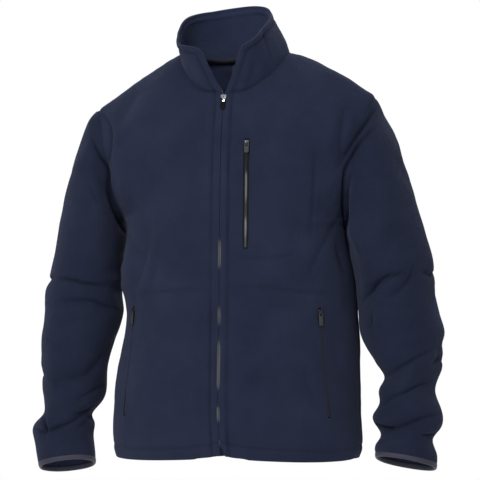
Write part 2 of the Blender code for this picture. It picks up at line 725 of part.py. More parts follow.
def make_front_zip(sheets, normals, metal, collection):
    """Each half of the front zip: tape inside the front and collar, and its row of teeth as a plain bead."""
    bead = (-ZIP_SLOT / 2 + SEAM_GAP / 2, -2 * SEAM_GAP)
    for side, name in ((1, "left"), (-1, "right")):
        front = sheets["front_" + name].grid
        collar = sheets["collar"].grid
        frames = edge_frames(front[:CENTRE_FRONT_ROWS], 0, 1, normals)
        edge, beyond = (0, 1) if side < 0 else (-1, -2)
        frames += edge_frames(collar, edge, beyond, normals)[1:]
        lowest, next_up = frames[0][0], frames[1][0]
        up = (next_up - lowest).normalized()
        frames[0] = (lowest + up * ZIP_END_ABOVE_HEM, *frames[0][1:])
        top, before = frames[-1][0], frames[-2][0]
        frames[-1] = (top + (before - top).normalized() * ZIP_END_BELOW_COLLAR, *frames[-1][1:])
        rings = []
        for j, (at, across, out) in enumerate(frames):
            reach, back = zip_tape_at(j - CENTRE_FRONT_ROWS + 1)
            profile = (
                (bead[0], back - TAPE), (reach, back - TAPE), (reach, back),
                (bead[1], back), (bead[1], -TEETH_SUNK), (bead[0], -TEETH_SUNK),
            )
            rings.append([at + across * a + out * b for a, b in profile])
        loft("zip_" + name, rings, False, metal, collection)


def slot_frames(sheet, rows, column):
    """Along a pocket's slot: its middle, the way across and the way out."""
    frames = []
    lines = sheet.grid[rows[0]:rows[1] + 1]
    middles = [(row[column] + row[column + 1]) / 2 for row in lines]
    for j, row in enumerate(lines):
        across = (row[column + 1] - row[column]).normalized() * sheet.outward
        along = (middles[min(j + 1, len(lines) - 1)] - middles[max(j - 1, 0)]).normalized()
        frames.append((middles[j], across, across.cross(along).normalized()))
    return frames


def make_pocket_zips(sheets, metal, collection):
    """The closed zip in each pocket's slot: the tape behind the front and the teeth as a bead in the slot."""
    half = POCKET_SLOT / 2 - POCKET_BEAD_CLEAR
    back = -CLOTH - POCKET_TAPE_CLEAR
    profile = (
        (-POCKET_TAPE, back - TAPE), (POCKET_TAPE, back - TAPE), (POCKET_TAPE, back), (half, back),
        (half, -TEETH_SUNK), (-half, -TEETH_SUNK), (-half, back), (-POCKET_TAPE, back),
    )
    for name, front, rows, column in POCKET_ZIPS:
        frames = slot_frames(sheets[front], rows, column)
        first, second = frames[0][0], frames[1][0]
        last, before = frames[-1][0], frames[-2][0]
        frames[0] = (first + (second - first).normalized() * SEAM_GAP, *frames[0][1:])
        frames[-1] = (last + (before - last).normalized() * SEAM_GAP, *frames[-1][1:])
        rings = [[at + across * a + out * b for a, b in profile] for at, across, out in frames]
        loft("zip_" + name, rings, False, metal, collection)


def block(low, high):
    """A closed box from its lowest and highest corners, as a bmesh in metres."""
    low, high = Vector(low) * MM, Vector(high) * MM
    bm = bmesh.new()
    bmesh.ops.create_cube(bm, size=1)
    bmesh.ops.scale(bm, vec=high - low, verts=bm.verts)
    bmesh.ops.translate(bm, vec=(low + high) / 2, verts=bm.verts)
    return bm


def joined_mesh(name, boxes, cuts, material, helpers):
    """One closed mesh: the boxes joined, then the cuts taken out of it."""
    mesh = bpy.data.meshes.new(name)
    boxes[0].to_mesh(mesh)
    base = bpy.data.objects.new(name + "_base", mesh)
    helpers.objects.link(base)
    used = [base]
    steps = [(b, "UNION") for b in boxes[1:]] + [(c, "DIFFERENCE") for c in cuts]
    for number, (bm, operation) in enumerate(steps):
        tool_mesh = bpy.data.meshes.new(name + "_tool")
        bm.to_mesh(tool_mesh)
        tool = bpy.data.objects.new(f"{name}_tool_{number}", tool_mesh)
        helpers.objects.link(tool)
        used.append(tool)
        modifier = base.modifiers.new(operation.title(), "BOOLEAN")
        modifier.operation = operation
        modifier.solver = "EXACT"
        modifier.object = tool
    bpy.context.view_layer.update()
    made = bpy.data.meshes.new_from_object(base.evaluated_get(bpy.context.evaluated_depsgraph_get()))
    made.name = name
    made.materials.clear()
    made.materials.append(material)
    for item in used:
        bpy.data.objects.remove(item)
    return made


def rounded(bm, width, axis):
    """Rounds the box's edges that run along an axis."""
    run = {edge: (edge.verts[1].co - edge.verts[0].co).normalized() for edge in bm.edges}
    edges = [edge for edge in bm.edges if abs(run[edge][axis]) > 0.99]
    bmesh.ops.bevel(
        bm, geom=edges, offset=width * MM, segments=2, profile=0.5, affect="EDGES", material=-1
    )
    return bm


def make_slider(name, size, frame, materials, collections):
    """Places a slider and its pull where frame, a matrix, puts the axis on which the pull turns."""
    metal, lacquer = materials
    collection, helpers = collections
    half_room = CROWN_ROOM / 2
    cloth_at = half_room + PLATE + PLATE_LIFT
    half_wide, half_tall, half_long = size.wide / 2, size.tall / 2, CROWN_LONG / 2
    inside = half_long - CROWN_BAR
    plate = block((-half_wide, half_room, -half_tall), (half_wide, half_room + PLATE, half_tall))
    plate = rounded(plate, PLATE_CORNER, 1)
    keel = block(
        (-size.keel / 2, half_room + PLATE - JOIN, -half_tall + KEEL_SHORTER),
        (size.keel / 2, cloth_at + TEETH_SUNK - SEAM_GAP, half_tall - KEEL_SHORTER),
    )
    crown_low = (-CROWN_WIDE / 2, -half_room - CROWN_BAR, -half_long)
    crown = rounded(block(crown_low, (CROWN_WIDE / 2, half_room + JOIN, half_long)), CROWN_CORNER, 0)
    room = block((-CROWN_WIDE, -half_room, -inside), (CROWN_WIDE, half_room, inside))
    slider = bpy.data.objects.new(
        "slider_" + name, joined_mesh("slider_" + name, [plate, crown, keel], [room], metal, helpers)
    )
    bar = PULL_THICK / 2
    window_wide, window_long = PULL_WINDOW
    tab = block((-size.pull_wide / 2, -bar, bar - size.pull_long), (size.pull_wide / 2, bar, bar))
    tab = rounded(tab, PULL_CORNER, 1)
    window = block((-window_wide / 2, -2 * bar, -bar - window_long), (window_wide / 2, 2 * bar, -bar))
    tab_mesh = joined_mesh("pull_" + name, [tab], [window], lacquer, helpers)
    pull = bpy.data.objects.new("pull_" + name, tab_mesh)
    for made in (slider, pull):
        collection.objects.link(made)
        made.matrix_world = frame


def zip_frame(at, across, out):
    """The matrix of a slider: X across the zip, Y into the cloth, Z up along the zip."""
    rise = CROWN_ROOM / 2 + PLATE + PLATE_LIFT
    up = out.cross(across).normalized()
    turn = Matrix((across, -out, up)).transposed().to_4x4()
    return Matrix.Translation((at + out * rise) * MM) @ turn


def make_sliders(sheets, materials, collections):
    """The four sliders: below the collar, and at the top of the chest pocket and of each hand pocket."""
    reach = MAIN_SLIDER.tall / 2 - KEEL_SHORTER
    above, middle, below = (at_drop(CENTRE_FRONT, MAIN_SLIDER_DROP + step) for step in (-reach, 0, reach))
    across = Vector((1, 0, 0))
    out = across.cross((above - below).normalized())
    make_slider("main", MAIN_SLIDER, zip_frame(middle, across, out), materials, collections)
    for name, front, rows, column in POCKET_ZIPS:
        size = CHEST_SLIDER if name == "chest" else HAND_SLIDER
        frames = slot_frames(sheets[front], rows, column)
        top, below = frames[-1][0], frames[-2][0]
        along = (below - top).normalized()
        across = (frames[-1][1] + frames[-2][1]).normalized()
        across = (across - along * across.dot(along)).normalized()
        out = across.cross(-along).normalized()
        at = top + along * (size.tall / 2 + SLIDER_BELOW_TOP)
        make_slider(name, size, zip_frame(at, across, out), materials, collections)


# ---------------------------------------------------------------- the jacket


def finish(name, colour, roughness, metallic=0.0):
    material = bpy.data.materials.new(name)
    material.use_nodes = True
    shader = material.node_tree.nodes["Principled BSDF"]
    shader.inputs["Base Color"].default_value = (*colour, 1)
    shader.inputs["Roughness"].default_value = roughness
    shader.inputs["Metallic"].default_value = metallic
    return material


def clear_scene():
    for item in list(bpy.data.objects):
        bpy.data.objects.remove(item)


def new_collection(name):
    made = bpy.data.collections.new(name)
    bpy.context.scene.collection.children.link(made)
    return made


def build():
    clear_scene()
    jacket = new_collection("fleece_zip_jacket")
    helpers = new_collection("helpers")
    fleece = finish("navy fleece", (0.021, 0.025, 0.056), 0.95)
    lining = finish("dark pocket mesh", (0.010, 0.011, 0.020), 0.8)
    satin = finish("plum binding", (0.055, 0.045, 0.085), 0.55)
    teeth = finish("zip teeth and tape", (0.10, 0.10, 0.11), 0.45, 0.6)
    metal = finish("nickel slider", (0.45, 0.45, 0.47), 0.3, 1.0)
    lacquer = finish("black lacquered pull", (0.012, 0.012, 0.014), 0.4)
    sheets, normals = whole_form()
    make_fronts(sheets, normals, fleece, jacket)
    make_back(sheets, normals, fleece, jacket)
    make_plain_pieces(sheets, normals, fleece, jacket)
    make_pocket_bags(sheets, normals, lining, jacket)
    make_neck_patch(sheets, normals, lining, jacket)
    make_bindings(sheets, normals, satin, jacket)
    make_front_zip(sheets, normals, teeth, jacket)
    make_pocket_zips(sheets, teeth, jacket)
    make_sliders(sheets, (metal, lacquer), (jacket, helpers))


build()
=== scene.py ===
# %% [markdown]
# # A fleece zip jacket, in its worn shape
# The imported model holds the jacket's construction: thin cloth walls, zips, sliders and hinged pull tabs, in
# metres, with the origin in the middle of the neck. This file dresses it. The jacket faces -Y, its own left
# side is +X, and a "drop" below is how far a point lies under the neck.

import json
import math
from collections import namedtuple

import bmesh
import bpy
import numpy as np
from mathutils import Matrix, Vector, noise
from mathutils.bvhtree import BVHTree
from mathutils.kdtree import KDTree

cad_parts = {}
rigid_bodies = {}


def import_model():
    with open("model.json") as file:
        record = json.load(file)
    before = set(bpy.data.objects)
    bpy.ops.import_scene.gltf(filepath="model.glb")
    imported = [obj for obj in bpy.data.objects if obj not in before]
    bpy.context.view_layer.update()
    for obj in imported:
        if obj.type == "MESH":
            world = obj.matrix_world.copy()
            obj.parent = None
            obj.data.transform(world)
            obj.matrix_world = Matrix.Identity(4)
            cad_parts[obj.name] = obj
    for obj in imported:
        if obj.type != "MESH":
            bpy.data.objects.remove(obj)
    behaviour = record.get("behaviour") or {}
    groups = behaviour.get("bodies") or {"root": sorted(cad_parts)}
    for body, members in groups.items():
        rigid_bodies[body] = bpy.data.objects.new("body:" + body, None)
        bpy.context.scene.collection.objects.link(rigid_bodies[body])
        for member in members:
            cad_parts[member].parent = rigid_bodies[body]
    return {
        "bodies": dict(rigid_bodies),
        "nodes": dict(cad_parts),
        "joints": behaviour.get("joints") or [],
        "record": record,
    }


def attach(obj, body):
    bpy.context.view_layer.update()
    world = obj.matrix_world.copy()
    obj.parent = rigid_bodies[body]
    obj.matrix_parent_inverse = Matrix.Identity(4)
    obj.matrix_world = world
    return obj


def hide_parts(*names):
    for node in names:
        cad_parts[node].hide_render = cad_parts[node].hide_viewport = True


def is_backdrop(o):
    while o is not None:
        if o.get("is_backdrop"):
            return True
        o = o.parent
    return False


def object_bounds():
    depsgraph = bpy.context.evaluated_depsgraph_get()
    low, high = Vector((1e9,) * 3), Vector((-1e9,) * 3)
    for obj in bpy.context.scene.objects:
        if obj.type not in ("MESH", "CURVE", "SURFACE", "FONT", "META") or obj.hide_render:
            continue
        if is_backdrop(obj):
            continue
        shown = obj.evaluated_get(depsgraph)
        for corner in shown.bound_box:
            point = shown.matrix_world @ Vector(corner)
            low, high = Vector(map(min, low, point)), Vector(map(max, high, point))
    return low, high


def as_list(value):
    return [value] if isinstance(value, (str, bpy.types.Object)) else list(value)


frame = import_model()
cad_box = [list(corner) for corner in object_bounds()]
scene = bpy.context.scene
MM = 0.001
print("jacket", [round((high - low) / MM) for low, high in zip(*cad_box)], "mm")

# %% [markdown]
# # The camera
# A product shot is taken from far away, so that near and far parts keep their size. A long lens eight metres
# off does that, 12 degrees round to the jacket's left. Folds are drawn from the same distance: each is a
# line in millimetres across and down, as a camera sees it, thrown onto the cloth.

# %% Camera
CAMERA_TURN = 12.0
CAMERA_RISE = 1.0
CAMERA_FAR = 8.0
PICTURE_WIDE = 0.864
PICTURE_MIDDLE = Vector((0.0044, 0.0, -0.337))
SENSOR = 36.0
SEES_AS_FAR_AS = 100


def away(turn, rise=0.0):
    """The direction from the jacket to a camera that is turned round it and raised, in degrees."""
    a, e = math.radians(turn), math.radians(rise)
    return Vector((math.sin(a) * math.cos(e), -math.cos(a) * math.cos(e), math.sin(e)))


def added(name, data):
    """A new object in the scene."""
    thing = bpy.data.objects.new(name, data)
    scene.collection.objects.link(thing)
    return thing


lens = bpy.data.cameras.new("product_camera")
lens.sensor_width = SENSOR
lens.lens = SENSOR * CAMERA_FAR / PICTURE_WIDE
lens.clip_end = SEES_AS_FAR_AS
camera = added("product_camera", lens)
camera.location = PICTURE_MIDDLE + away(CAMERA_TURN, CAMERA_RISE) * CAMERA_FAR
camera.rotation_mode = "QUATERNION"
camera.rotation_quaternion = (-away(CAMERA_TURN, CAMERA_RISE)).to_track_quat("-Z", "Y")
scene.camera = camera
print("camera", [round(x, 3) for x in camera.location])

# %% [markdown]
# # Light and floor
# The jacket is dark, so it stands in a bright white room: a white world for soft fill, and a key light in
# front, above and a little to its right, which gives the folds a lit side. A weaker light hangs high behind
# it. The floor is a wide pale disc well below the hem.

# %% Light and floor
FLOOR_DROP, FLOOR_RADIUS = 1.35, 7.0
scene.view_settings.view_transform = "Standard"
scene.view_settings.look = "None"


def plain_material(name, colour, roughness, metallic=0.0, specular=0.5):
    material = bpy.data.materials.new(name)
    material.use_nodes = True
    inputs = material.node_tree.nodes["Principled BSDF"].inputs
    inputs["Base Color"].default_value = (*colour, 1)
    inputs["Roughness"].default_value = roughness
    inputs["Metallic"].default_value = metallic
    inputs["Specular IOR Level"].default_value = specular
    return material


def soft_light(name, at, size, watts):
    """A square lamp aimed at the middle of the picture."""
    data = bpy.data.lights.new(name, "AREA")
    data.shape, data.size, data.size_y, data.energy = "RECTANGLE", size, size, watts
    light = added(name, data)
    light.location = at
    light.rotation_mode = "QUATERNION"
    light.rotation_quaternion = (PICTURE_MIDDLE - Vector(at)).to_track_quat("-Z", "Y")


world = bpy.data.worlds.new("white_room")
world.use_nodes = True
world.node_tree.nodes["Background"].inputs["Color"].default_value = (1, 1, 1, 1)
world.node_tree.nodes["Background"].inputs["Strength"].default_value = 1.0
scene.world = world
soft_light("key_light", at=(-0.3, -3.0, 1.25), size=0.9, watts=120)
soft_light("back_light", at=(0.1, 2.6, 2.4), size=1.2, watts=75)

disc = bmesh.new()
bmesh.ops.create_circle(disc, cap_ends=True, segments=96, radius=FLOOR_RADIUS)
floor_mesh = bpy.data.meshes.new("floor")
disc.to_mesh(floor_mesh)
floor = added("floor", floor_mesh)
floor.location.z = -FLOOR_DROP
floor_mesh.materials.append(plain_material("pale floor", (0.86, 0.86, 0.87), 0.7))
floor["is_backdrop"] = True
print("floor", FLOOR_DROP, "m below the neck")

# %% [markdown]
# # Fleece
# Polyester fleece is a knit whose loops are brushed up into a short, dense pile with almost no gloss. One
# sees a soft nap: tufts a millimetre or two wide, patches where the pile lies another way, and a pale bloom
# where the surface turns from the eye. So the shader is rough, the bump is two sizes of noise, the colour
# wanders between two navies, and the sheen gives the bloom. Shade is painted into the colour in creases,
# seams and stitch grooves, by an attribute that the cloth carries on its points. The sleeves get a copy of
# the fleece with painted shade, a shade darker, and the inner face a copy with painted light, lighter.

# %% A shader's parts
def shader_of(material):
    return material.node_tree.nodes["Principled BSDF"]


def add_node(material, kind, links=(), **values):
    """A new node. links are (input name, output socket), values are settings or input values."""
    node = material.node_tree.nodes.new(kind)
    for key, value in values.items():
        if hasattr(node, key):
            setattr(node, key, value)
        else:
            node.inputs[key].default_value = value
    for socket, source in links:
        material.node_tree.links.new(source, node.inputs[socket])
    return node


def noise_on(material, place, scale, detail=3.0, roughness=0.55):
    """A noise's value at a place; scale is in bumps a metre."""
    return add_node(
        material, "ShaderNodeTexNoise", [("Vector", place)], Scale=scale, Detail=detail, Roughness=roughness
    ).outputs["Fac"]


def ramp(material, source, low, high, start=0.35, end=0.65):
    """A blend between two colours as the source goes from start to end."""
    node = add_node(material, "ShaderNodeValToRGB", [("Fac", source)])
    for stop, position, colour in zip(node.color_ramp.elements, (start, end), (low, high)):
        stop.position, stop.color = position, (*colour, 1)
    return node.outputs["Color"]


def add_bump(material, height, distance, strength=1.0, below=None):
    links = [("Height", height)] + ([("Normal", below)] if below else [])
    bump = add_node(material, "ShaderNodeBump", links, Distance=distance, Strength=strength)
    return bump.outputs["Normal"]


def wire(material, **sockets):
    for name, source in sockets.items():
        material.node_tree.links.new(source, shader_of(material).inputs[name.replace("_", " ")])


def set_sheen(material, weight, roughness, tint):
    inputs = shader_of(material).inputs
    inputs["Sheen Weight"].default_value = weight
    inputs["Sheen Roughness"].default_value = roughness
    inputs["Sheen Tint"].default_value = (*tint, 1)


def object_place(material):
    return add_node(material, "ShaderNodeTexCoord").outputs["Object"]


def ribbed(material, kind, output, depth, strength, **pattern):
    """Bumps the surface with a regular pattern, such as a weave."""
    relief = add_node(material, kind, [("Vector", object_place(material))], **pattern)
    wire(material, Normal=add_bump(material, relief.outputs[output], depth, strength))


print("shader parts: noise, ramp, bump, sheen and ribs")

# %% Fleece
NAVY_DEEP = (0.0078, 0.0101, 0.0220)
NAVY_LIT = (0.0125, 0.0158, 0.0312)
# Factors of the colour: painted shade in creases, painted shade on the sleeves, painted light on the inner
# face
PAINTED_CREASE_SHADE, SLEEVE_PAINTED_SHADE, INNER_PAINTED_LIGHT = 0.45, 0.85, 1.6
PATCHES, TUFTS, PILE = 16, 420, 1500  # bumps a metre
TUFT_HIGH, PILE_HIGH = 0.0022, 0.0008
FACTOR, FIRST_COLOUR, SECOND_COLOUR, MIXED = 0, 6, 7, 2  # sockets of a mix of colours


def make_fleece(name, shade=1.0):
    deep, lit = ([shade * part for part in colour] for colour in (NAVY_DEEP, NAVY_LIT))
    material = plain_material(name, lit, 0.95)
    place = object_place(material)
    patches = noise_on(material, place, PATCHES, 3)
    tufts = noise_on(material, place, TUFTS, 3, 0.7)
    pile = noise_on(material, place, PILE, 2)
    nap = add_node(material, "ShaderNodeMath", [(0, patches), (1, tufts)], operation="ADD")
    half = add_node(material, "ShaderNodeMath", [(0, nap.outputs[0])], operation="MULTIPLY")
    half.inputs[1].default_value = 0.5
    napped = ramp(material, half.outputs[0], deep, lit, 0.32, 0.68)
    # Painted shade: a point attribute mixes the colour towards a darker navy in creases, seams and stitch
    # grooves
    pressed = add_node(material, "ShaderNodeAttribute", attribute_name="painted_crease_shade").outputs["Fac"]
    links = [(FACTOR, pressed), (FIRST_COLOUR, napped)]
    painted_shade_mix = add_node(material, "ShaderNodeMix", links, data_type="RGBA")
    painted_shade_mix.inputs[SECOND_COLOUR].default_value = (*(PAINTED_CREASE_SHADE * part for part in deep), 1)
    coarse = add_bump(material, tufts, TUFT_HIGH, 0.75)
    fine_nap = add_bump(material, pile, PILE_HIGH, 0.6, coarse)
    wire(material, Base_Color=painted_shade_mix.outputs[MIXED], Normal=fine_nap)
    set_sheen(material, 0.06, 0.40, (0.55, 0.62, 0.95))
    shader_of(material).inputs["IOR"].default_value = 1.1
    return material


fleece = make_fleece("navy fleece")
# Painted shade and painted light: the sleeves get a darker copy of the fleece, the inner faces a lighter one
sleeve_fleece_painted_shade = make_fleece("navy fleece of the sleeves", SLEEVE_PAINTED_SHADE)
inner_fleece_painted_light = make_fleece("navy fleece, inner face", INNER_PAINTED_LIGHT)
print("fleece:", fleece.name, sleeve_fleece_painted_shade.name, inner_fleece_painted_light.name)

# %% [markdown]
# # The cloth, as one surface
# A sewn garment is many pieces, but its surface runs on through every seam. So the outer skins of the six
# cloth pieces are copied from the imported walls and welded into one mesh. That is subdivided and folded, and
# only then cut back into pieces. Every face remembers its piece.
#
# A packed wall is loose triangles. Its rim is taken away first: a rim triangle has an edge as short as the
# cloth is thick. Of the two skins left, the outer one faces away from the middle of the piece.

# %% The outer skin of a wall
CLOTH_PIECES = ("back", "collar", "front_left", "front_right", "sleeve_left", "sleeve_right")
SAME_POINT = 2e-5
SHORTER_THAN_A_FACE = 0.0056
NEAR_HEIGHT = 0.04


def islands(bm):
    """The faces of each connected part."""
    left = set(bm.faces)
    while left:
        todo = [left.pop()]
        found = []
        while todo:
            face = todo.pop()
            found.append(face)
            beside = {other for edge in face.edges for other in edge.link_faces} & left
            left -= beside
            todo += beside
        yield found


def facing_out(faces):
    """How much these faces look away from the middle of the piece at their own height."""
    points = {vert: vert.co.copy() for face in faces for vert in face.verts}
    total = 0.0
    for face in faces:
        at = face.calc_center_median()
        level = [co for co in points.values() if abs(co.z - at.z) < NEAR_HEIGHT]
        total += (at - sum(level, Vector()) / len(level)).dot(face.normal) * face.calc_area()
    return total


def bmesh_of(mesh):
    bm = bmesh.new()
    bm.from_mesh(mesh)
    return bm


def packed(node):
    """A packed wall, with its loose triangles joined at their corners."""
    bm = bmesh_of(frame["nodes"][node].data)
    bmesh.ops.remove_doubles(bm, verts=bm.verts, dist=SAME_POINT)
    return bm


def paired(bm, flat=math.pi):
    """The same with its triangles as quads, where two lie flatter than an angle."""
    bmesh.ops.join_triangles(bm, faces=bm.faces, angle_face_threshold=flat, angle_shape_threshold=math.pi)
    return bm


def outer_skin(node):
    """A bmesh of the outer surface of a packed cloth wall, as quads."""
    bm = packed(node)
    rim = [face for face in bm.faces if min(edge.calc_length() for edge in face.edges) < SHORTER_THAN_A_FACE]
    bmesh.ops.delete(bm, geom=rim, context="FACES")
    skins = sorted(islands(bm), key=facing_out)
    bmesh.ops.delete(bm, geom=[face for skin in skins[:-1] for face in skin], context="FACES")
    return paired(bm)


def to_mesh(bm, name):
    mesh = bpy.data.meshes.new(name)
    bm.to_mesh(mesh)
    bm.free()
    return mesh


def smooth(bm):
    for face in bm.faces:
        face.smooth = True
    return bm


def rounded(bm, edges, offset, segments, clamp=False):
    bmesh.ops.bevel(
        bm, geom=edges, offset=offset, segments=segments, profile=0.5, affect="EDGES", material=-1,
        clamp_overlap=clamp,
    )
    return bm


print("walls to skin:", len(CLOTH_PIECES))

# %% Weld the skins
SEAM_REACH = 0.0009
CORNER_TURN = math.radians(42)


def boundary_turn(vert):
    """How sharply the border turns at a border vertex."""
    ends = [edge.other_vert(vert).co for edge in vert.link_edges if edge.is_boundary]
    if len(ends) != 2:
        return 0.0
    return (vert.co - ends[0]).angle(ends[1] - vert.co)


whole = bmesh.new()
owner = whole.faces.layers.int.new("owner")
for number, node in enumerate(CLOTH_PIECES):
    skin = to_mesh(outer_skin(node), "skin")
    already = len(whole.faces)
    whole.from_mesh(skin)
    whole.faces.ensure_lookup_table()
    for face in whole.faces[already:]:
        face[owner] = number
    bpy.data.meshes.remove(skin)
bmesh.ops.remove_doubles(whole, verts=whole.verts, dist=SEAM_REACH)
held = whole.verts.layers.float.new("crease_vert")
corners, round_corners = [], []
for number, vert in enumerate(whole.verts):
    if boundary_turn(vert) > CORNER_TURN:
        corners.append(number)
        if vert.co.z > 0:
            round_corners.append(number)
        else:
            vert[held] = 1.0
print("welded skins:", len(whole.faces), "faces;", len(corners), "corners,", len(round_corners), "round")

# %% [markdown]
# # Finer cloth
# Subdivision rounds the welded skin, and draws it a little inside its own points. So the points are first
# pushed out by what they are about to lose. Corners, such as the ends of the pocket slots, stay sharp, but
# the two at the top of the collar turn round, as thick folded cloth does.

# %% Subdivide
LEVEL = 3
FIT_ROUNDS = 2


def rows_of(collection, key):
    rows = np.zeros(len(collection) * 3)
    collection.foreach_get(key, rows)
    return rows.reshape(-1, 3)


def places(mesh):
    return rows_of(mesh.vertices, "co")


def directions(mesh):
    return rows_of(mesh.vertex_normals, "vector")


def put_places(mesh, co):
    mesh.vertices.foreach_set("co", co.ravel())
    mesh.update()


def subdivided(mesh, level):
    holder = added("holder", mesh)
    modifier = holder.modifiers.new("Subdivision", "SUBSURF")
    modifier.levels = modifier.render_levels = level
    modifier.boundary_smooth = "ALL"
    finer = bpy.data.meshes.new_from_object(holder.evaluated_get(bpy.context.evaluated_depsgraph_get()))
    bpy.data.objects.remove(holder)
    return finer


for face in whole.faces:
    face.material_index = face[owner]
bmesh.ops.recalc_face_normals(whole, faces=whole.faces)
control = to_mesh(whole, "control")
wanted = places(control)
for _ in range(FIT_ROUNDS):
    lost = wanted - places(subdivided(control, 1))[: len(wanted)]
    lost[round_corners] = 0
    put_places(control, places(control) + lost)
fine = subdivided(control, LEVEL)
print("fine cloth:", len(fine.polygons), "faces; off by", round(float(np.abs(lost).max()) / MM, 2), "mm")

# %% [markdown]
# # What each point of the cloth knows
# The smooth cloth is kept as plain arrays: where each point is, which way it faces, and how far it is from
# the nearest seam. Lines drawn by a camera are thrown onto it with a ray.

# %% The smooth cloth
cloth_at = places(fine)
cloth_out = directions(fine)
fine_bm = bmesh_of(fine)
fine_bm.verts.ensure_lookup_table()
surface = BVHTree.FromBMesh(fine_bm)
seam_points = [v.index for v in fine_bm.verts if len({f.material_index for f in v.link_faces}) > 1]


def tree_of(points):
    tree = KDTree(len(points))
    for number, point in enumerate(points):
        tree.insert(point, number)
    tree.balance()
    return tree


def distance_from(points):
    tree = tree_of(points)
    return np.array([tree.find(co)[2] for co in cloth_at])


from_seam = distance_from([cloth_at[i] for i in seam_points])
print("seam points", len(seam_points), "farthest from a seam", round(from_seam.max(), 3), "m")

# %% Lines thrown onto the cloth
LINE_STEP, PARTS_OF_A_SPAN = 0.004, 24


def smooth_line(points, step):
    """A Catmull-Rom line through points of any dimension, resampled at about equal steps."""
    points = np.array(points, float)
    ends = [2 * points[0] - points[1], *points, 2 * points[-1] - points[-2]]
    dense = []
    for a, b, c, d in zip(ends, ends[1:], ends[2:], ends[3:]):
        for t in np.linspace(0, 1, PARTS_OF_A_SPAN, endpoint=False):
            bent = 2 * b + (c - a) * t + (2 * a - 5 * b + 4 * c - d) * t**2
            dense.append(0.5 * (bent + (3 * b - a - 3 * c + d) * t**3))
    return resampled(np.array([*dense, points[-1]]), step)


def lengths_along(line):
    return np.concatenate([[0], np.cumsum(np.linalg.norm(np.diff(line, axis=0), axis=1))])


def steps_between(start, end, step):
    return np.linspace(start, end, max(2, round((end - start) / step) + 1))


def taken_at(wanted, along, rows):
    return np.stack([np.interp(wanted, along, column) for column in rows.T], axis=1)


def resampled(line, step):
    """The same line with its points at equal distances."""
    along = lengths_along(line)
    return taken_at(steps_between(0, along[-1], step), along, line)


def thrown(turn, points, step=LINE_STEP):
    """Points (across, drop) in mm, as a camera at that turn sees them, thrown onto the cloth's outside."""
    back = away(turn)
    right = Vector((-back.y, back.x, 0))
    start = PICTURE_MIDDLE + back * CAMERA_FAR
    middle = Vector((PICTURE_MIDDLE.x, PICTURE_MIDDLE.y, 0))
    found = []
    for across, drop in smooth_line(points, step / MM) * MM:
        aim = middle - right * middle.dot(right) + right * across - Vector((0, 0, drop))
        hit = surface.ray_cast(start, aim - start)[0]
        if hit is not None:
            found.append(hit)
    return found


print("20 cm down:", [round(x, 3) for x in thrown(CAMERA_TURN, [(0, 200), (0, 220)])[0]])

# %% [markdown]
# # Folds
# Fleece is thick and springy, so its folds are broad, soft and few. Most are in the sleeves: a deep crease
# runs down from each shoulder where the arm hangs, short ones bend round each elbow, and the spare length
# stacks up in rings above the cuff. The fronts and the back hang nearly flat.
#
# Each row below is one fold: its depth and width in mm, its line, its lean and the depth of its crease. It
# is deepest in the middle of its length, and the cloth that it takes up swells a little on both sides. A
# negative depth is a ridge. A fold that leans has a step between a high side and a low side, as where cloth
# starts to lap over itself: the high side is on the left of someone who walks the line for a lean above 0,
# and on the right below 0. The crease is where the cloth is pinched along the line, with painted shade there.

# %% Folds of the right sleeve, from the front
RIGHT_SLEEVE_FOLDS = [
    (2.5, 7, [(-251, 108), (-237, 117), (-229, 133), (-228, 169), (-233, 203)], 0.3, 3.0),
    (
        4.5, 11, [(-264, 151), (-248, 184), (-235, 209), (-231, 247), (-220, 284), (-206, 315), (-192, 338)],
        0.5, 6
    ),
    (-3.5, 9, [(-269, 241), (-255, 259), (-240, 279)]),
    (2.0, 7, [(-273, 230), (-262, 250), (-251, 270)], 0.3, 1.5),
    (4.5, 10, [(-338, 402), (-298, 409), (-274, 415), (-237, 418)], 0.5, 3.5),
    (-6.0, 9, [(-244, 401), (-230, 407), (-213, 410)]),
    (4.5, 10, [(-320, 445), (-267, 445), (-241, 454), (-213, 462)], 0.5, 2),
    (2.5, 12, [(-334, 499), (-292, 484), (-248, 477)]),
    (6.0, 12, [(-334, 591), (-279, 580), (-252, 558), (-242, 535)], 0.2, 0.8),
    (5.0, 10, [(-291, 625), (-262, 608), (-238, 594)], 0.3, 0.8),
    (7.0, 9, [(-364, 679), (-346, 684), (-312, 670), (-290, 659), (-264, 637)], -0.5, 3.5),
    (3.0, 5, [(-348, 657), (-347, 673), (-346, 688)], -0.4, 4),
    (3.5, 7, [(-291, 677), (-274, 666), (-262, 653)], -0.3, 2),
]
print(len(RIGHT_SLEEVE_FOLDS), "folds")

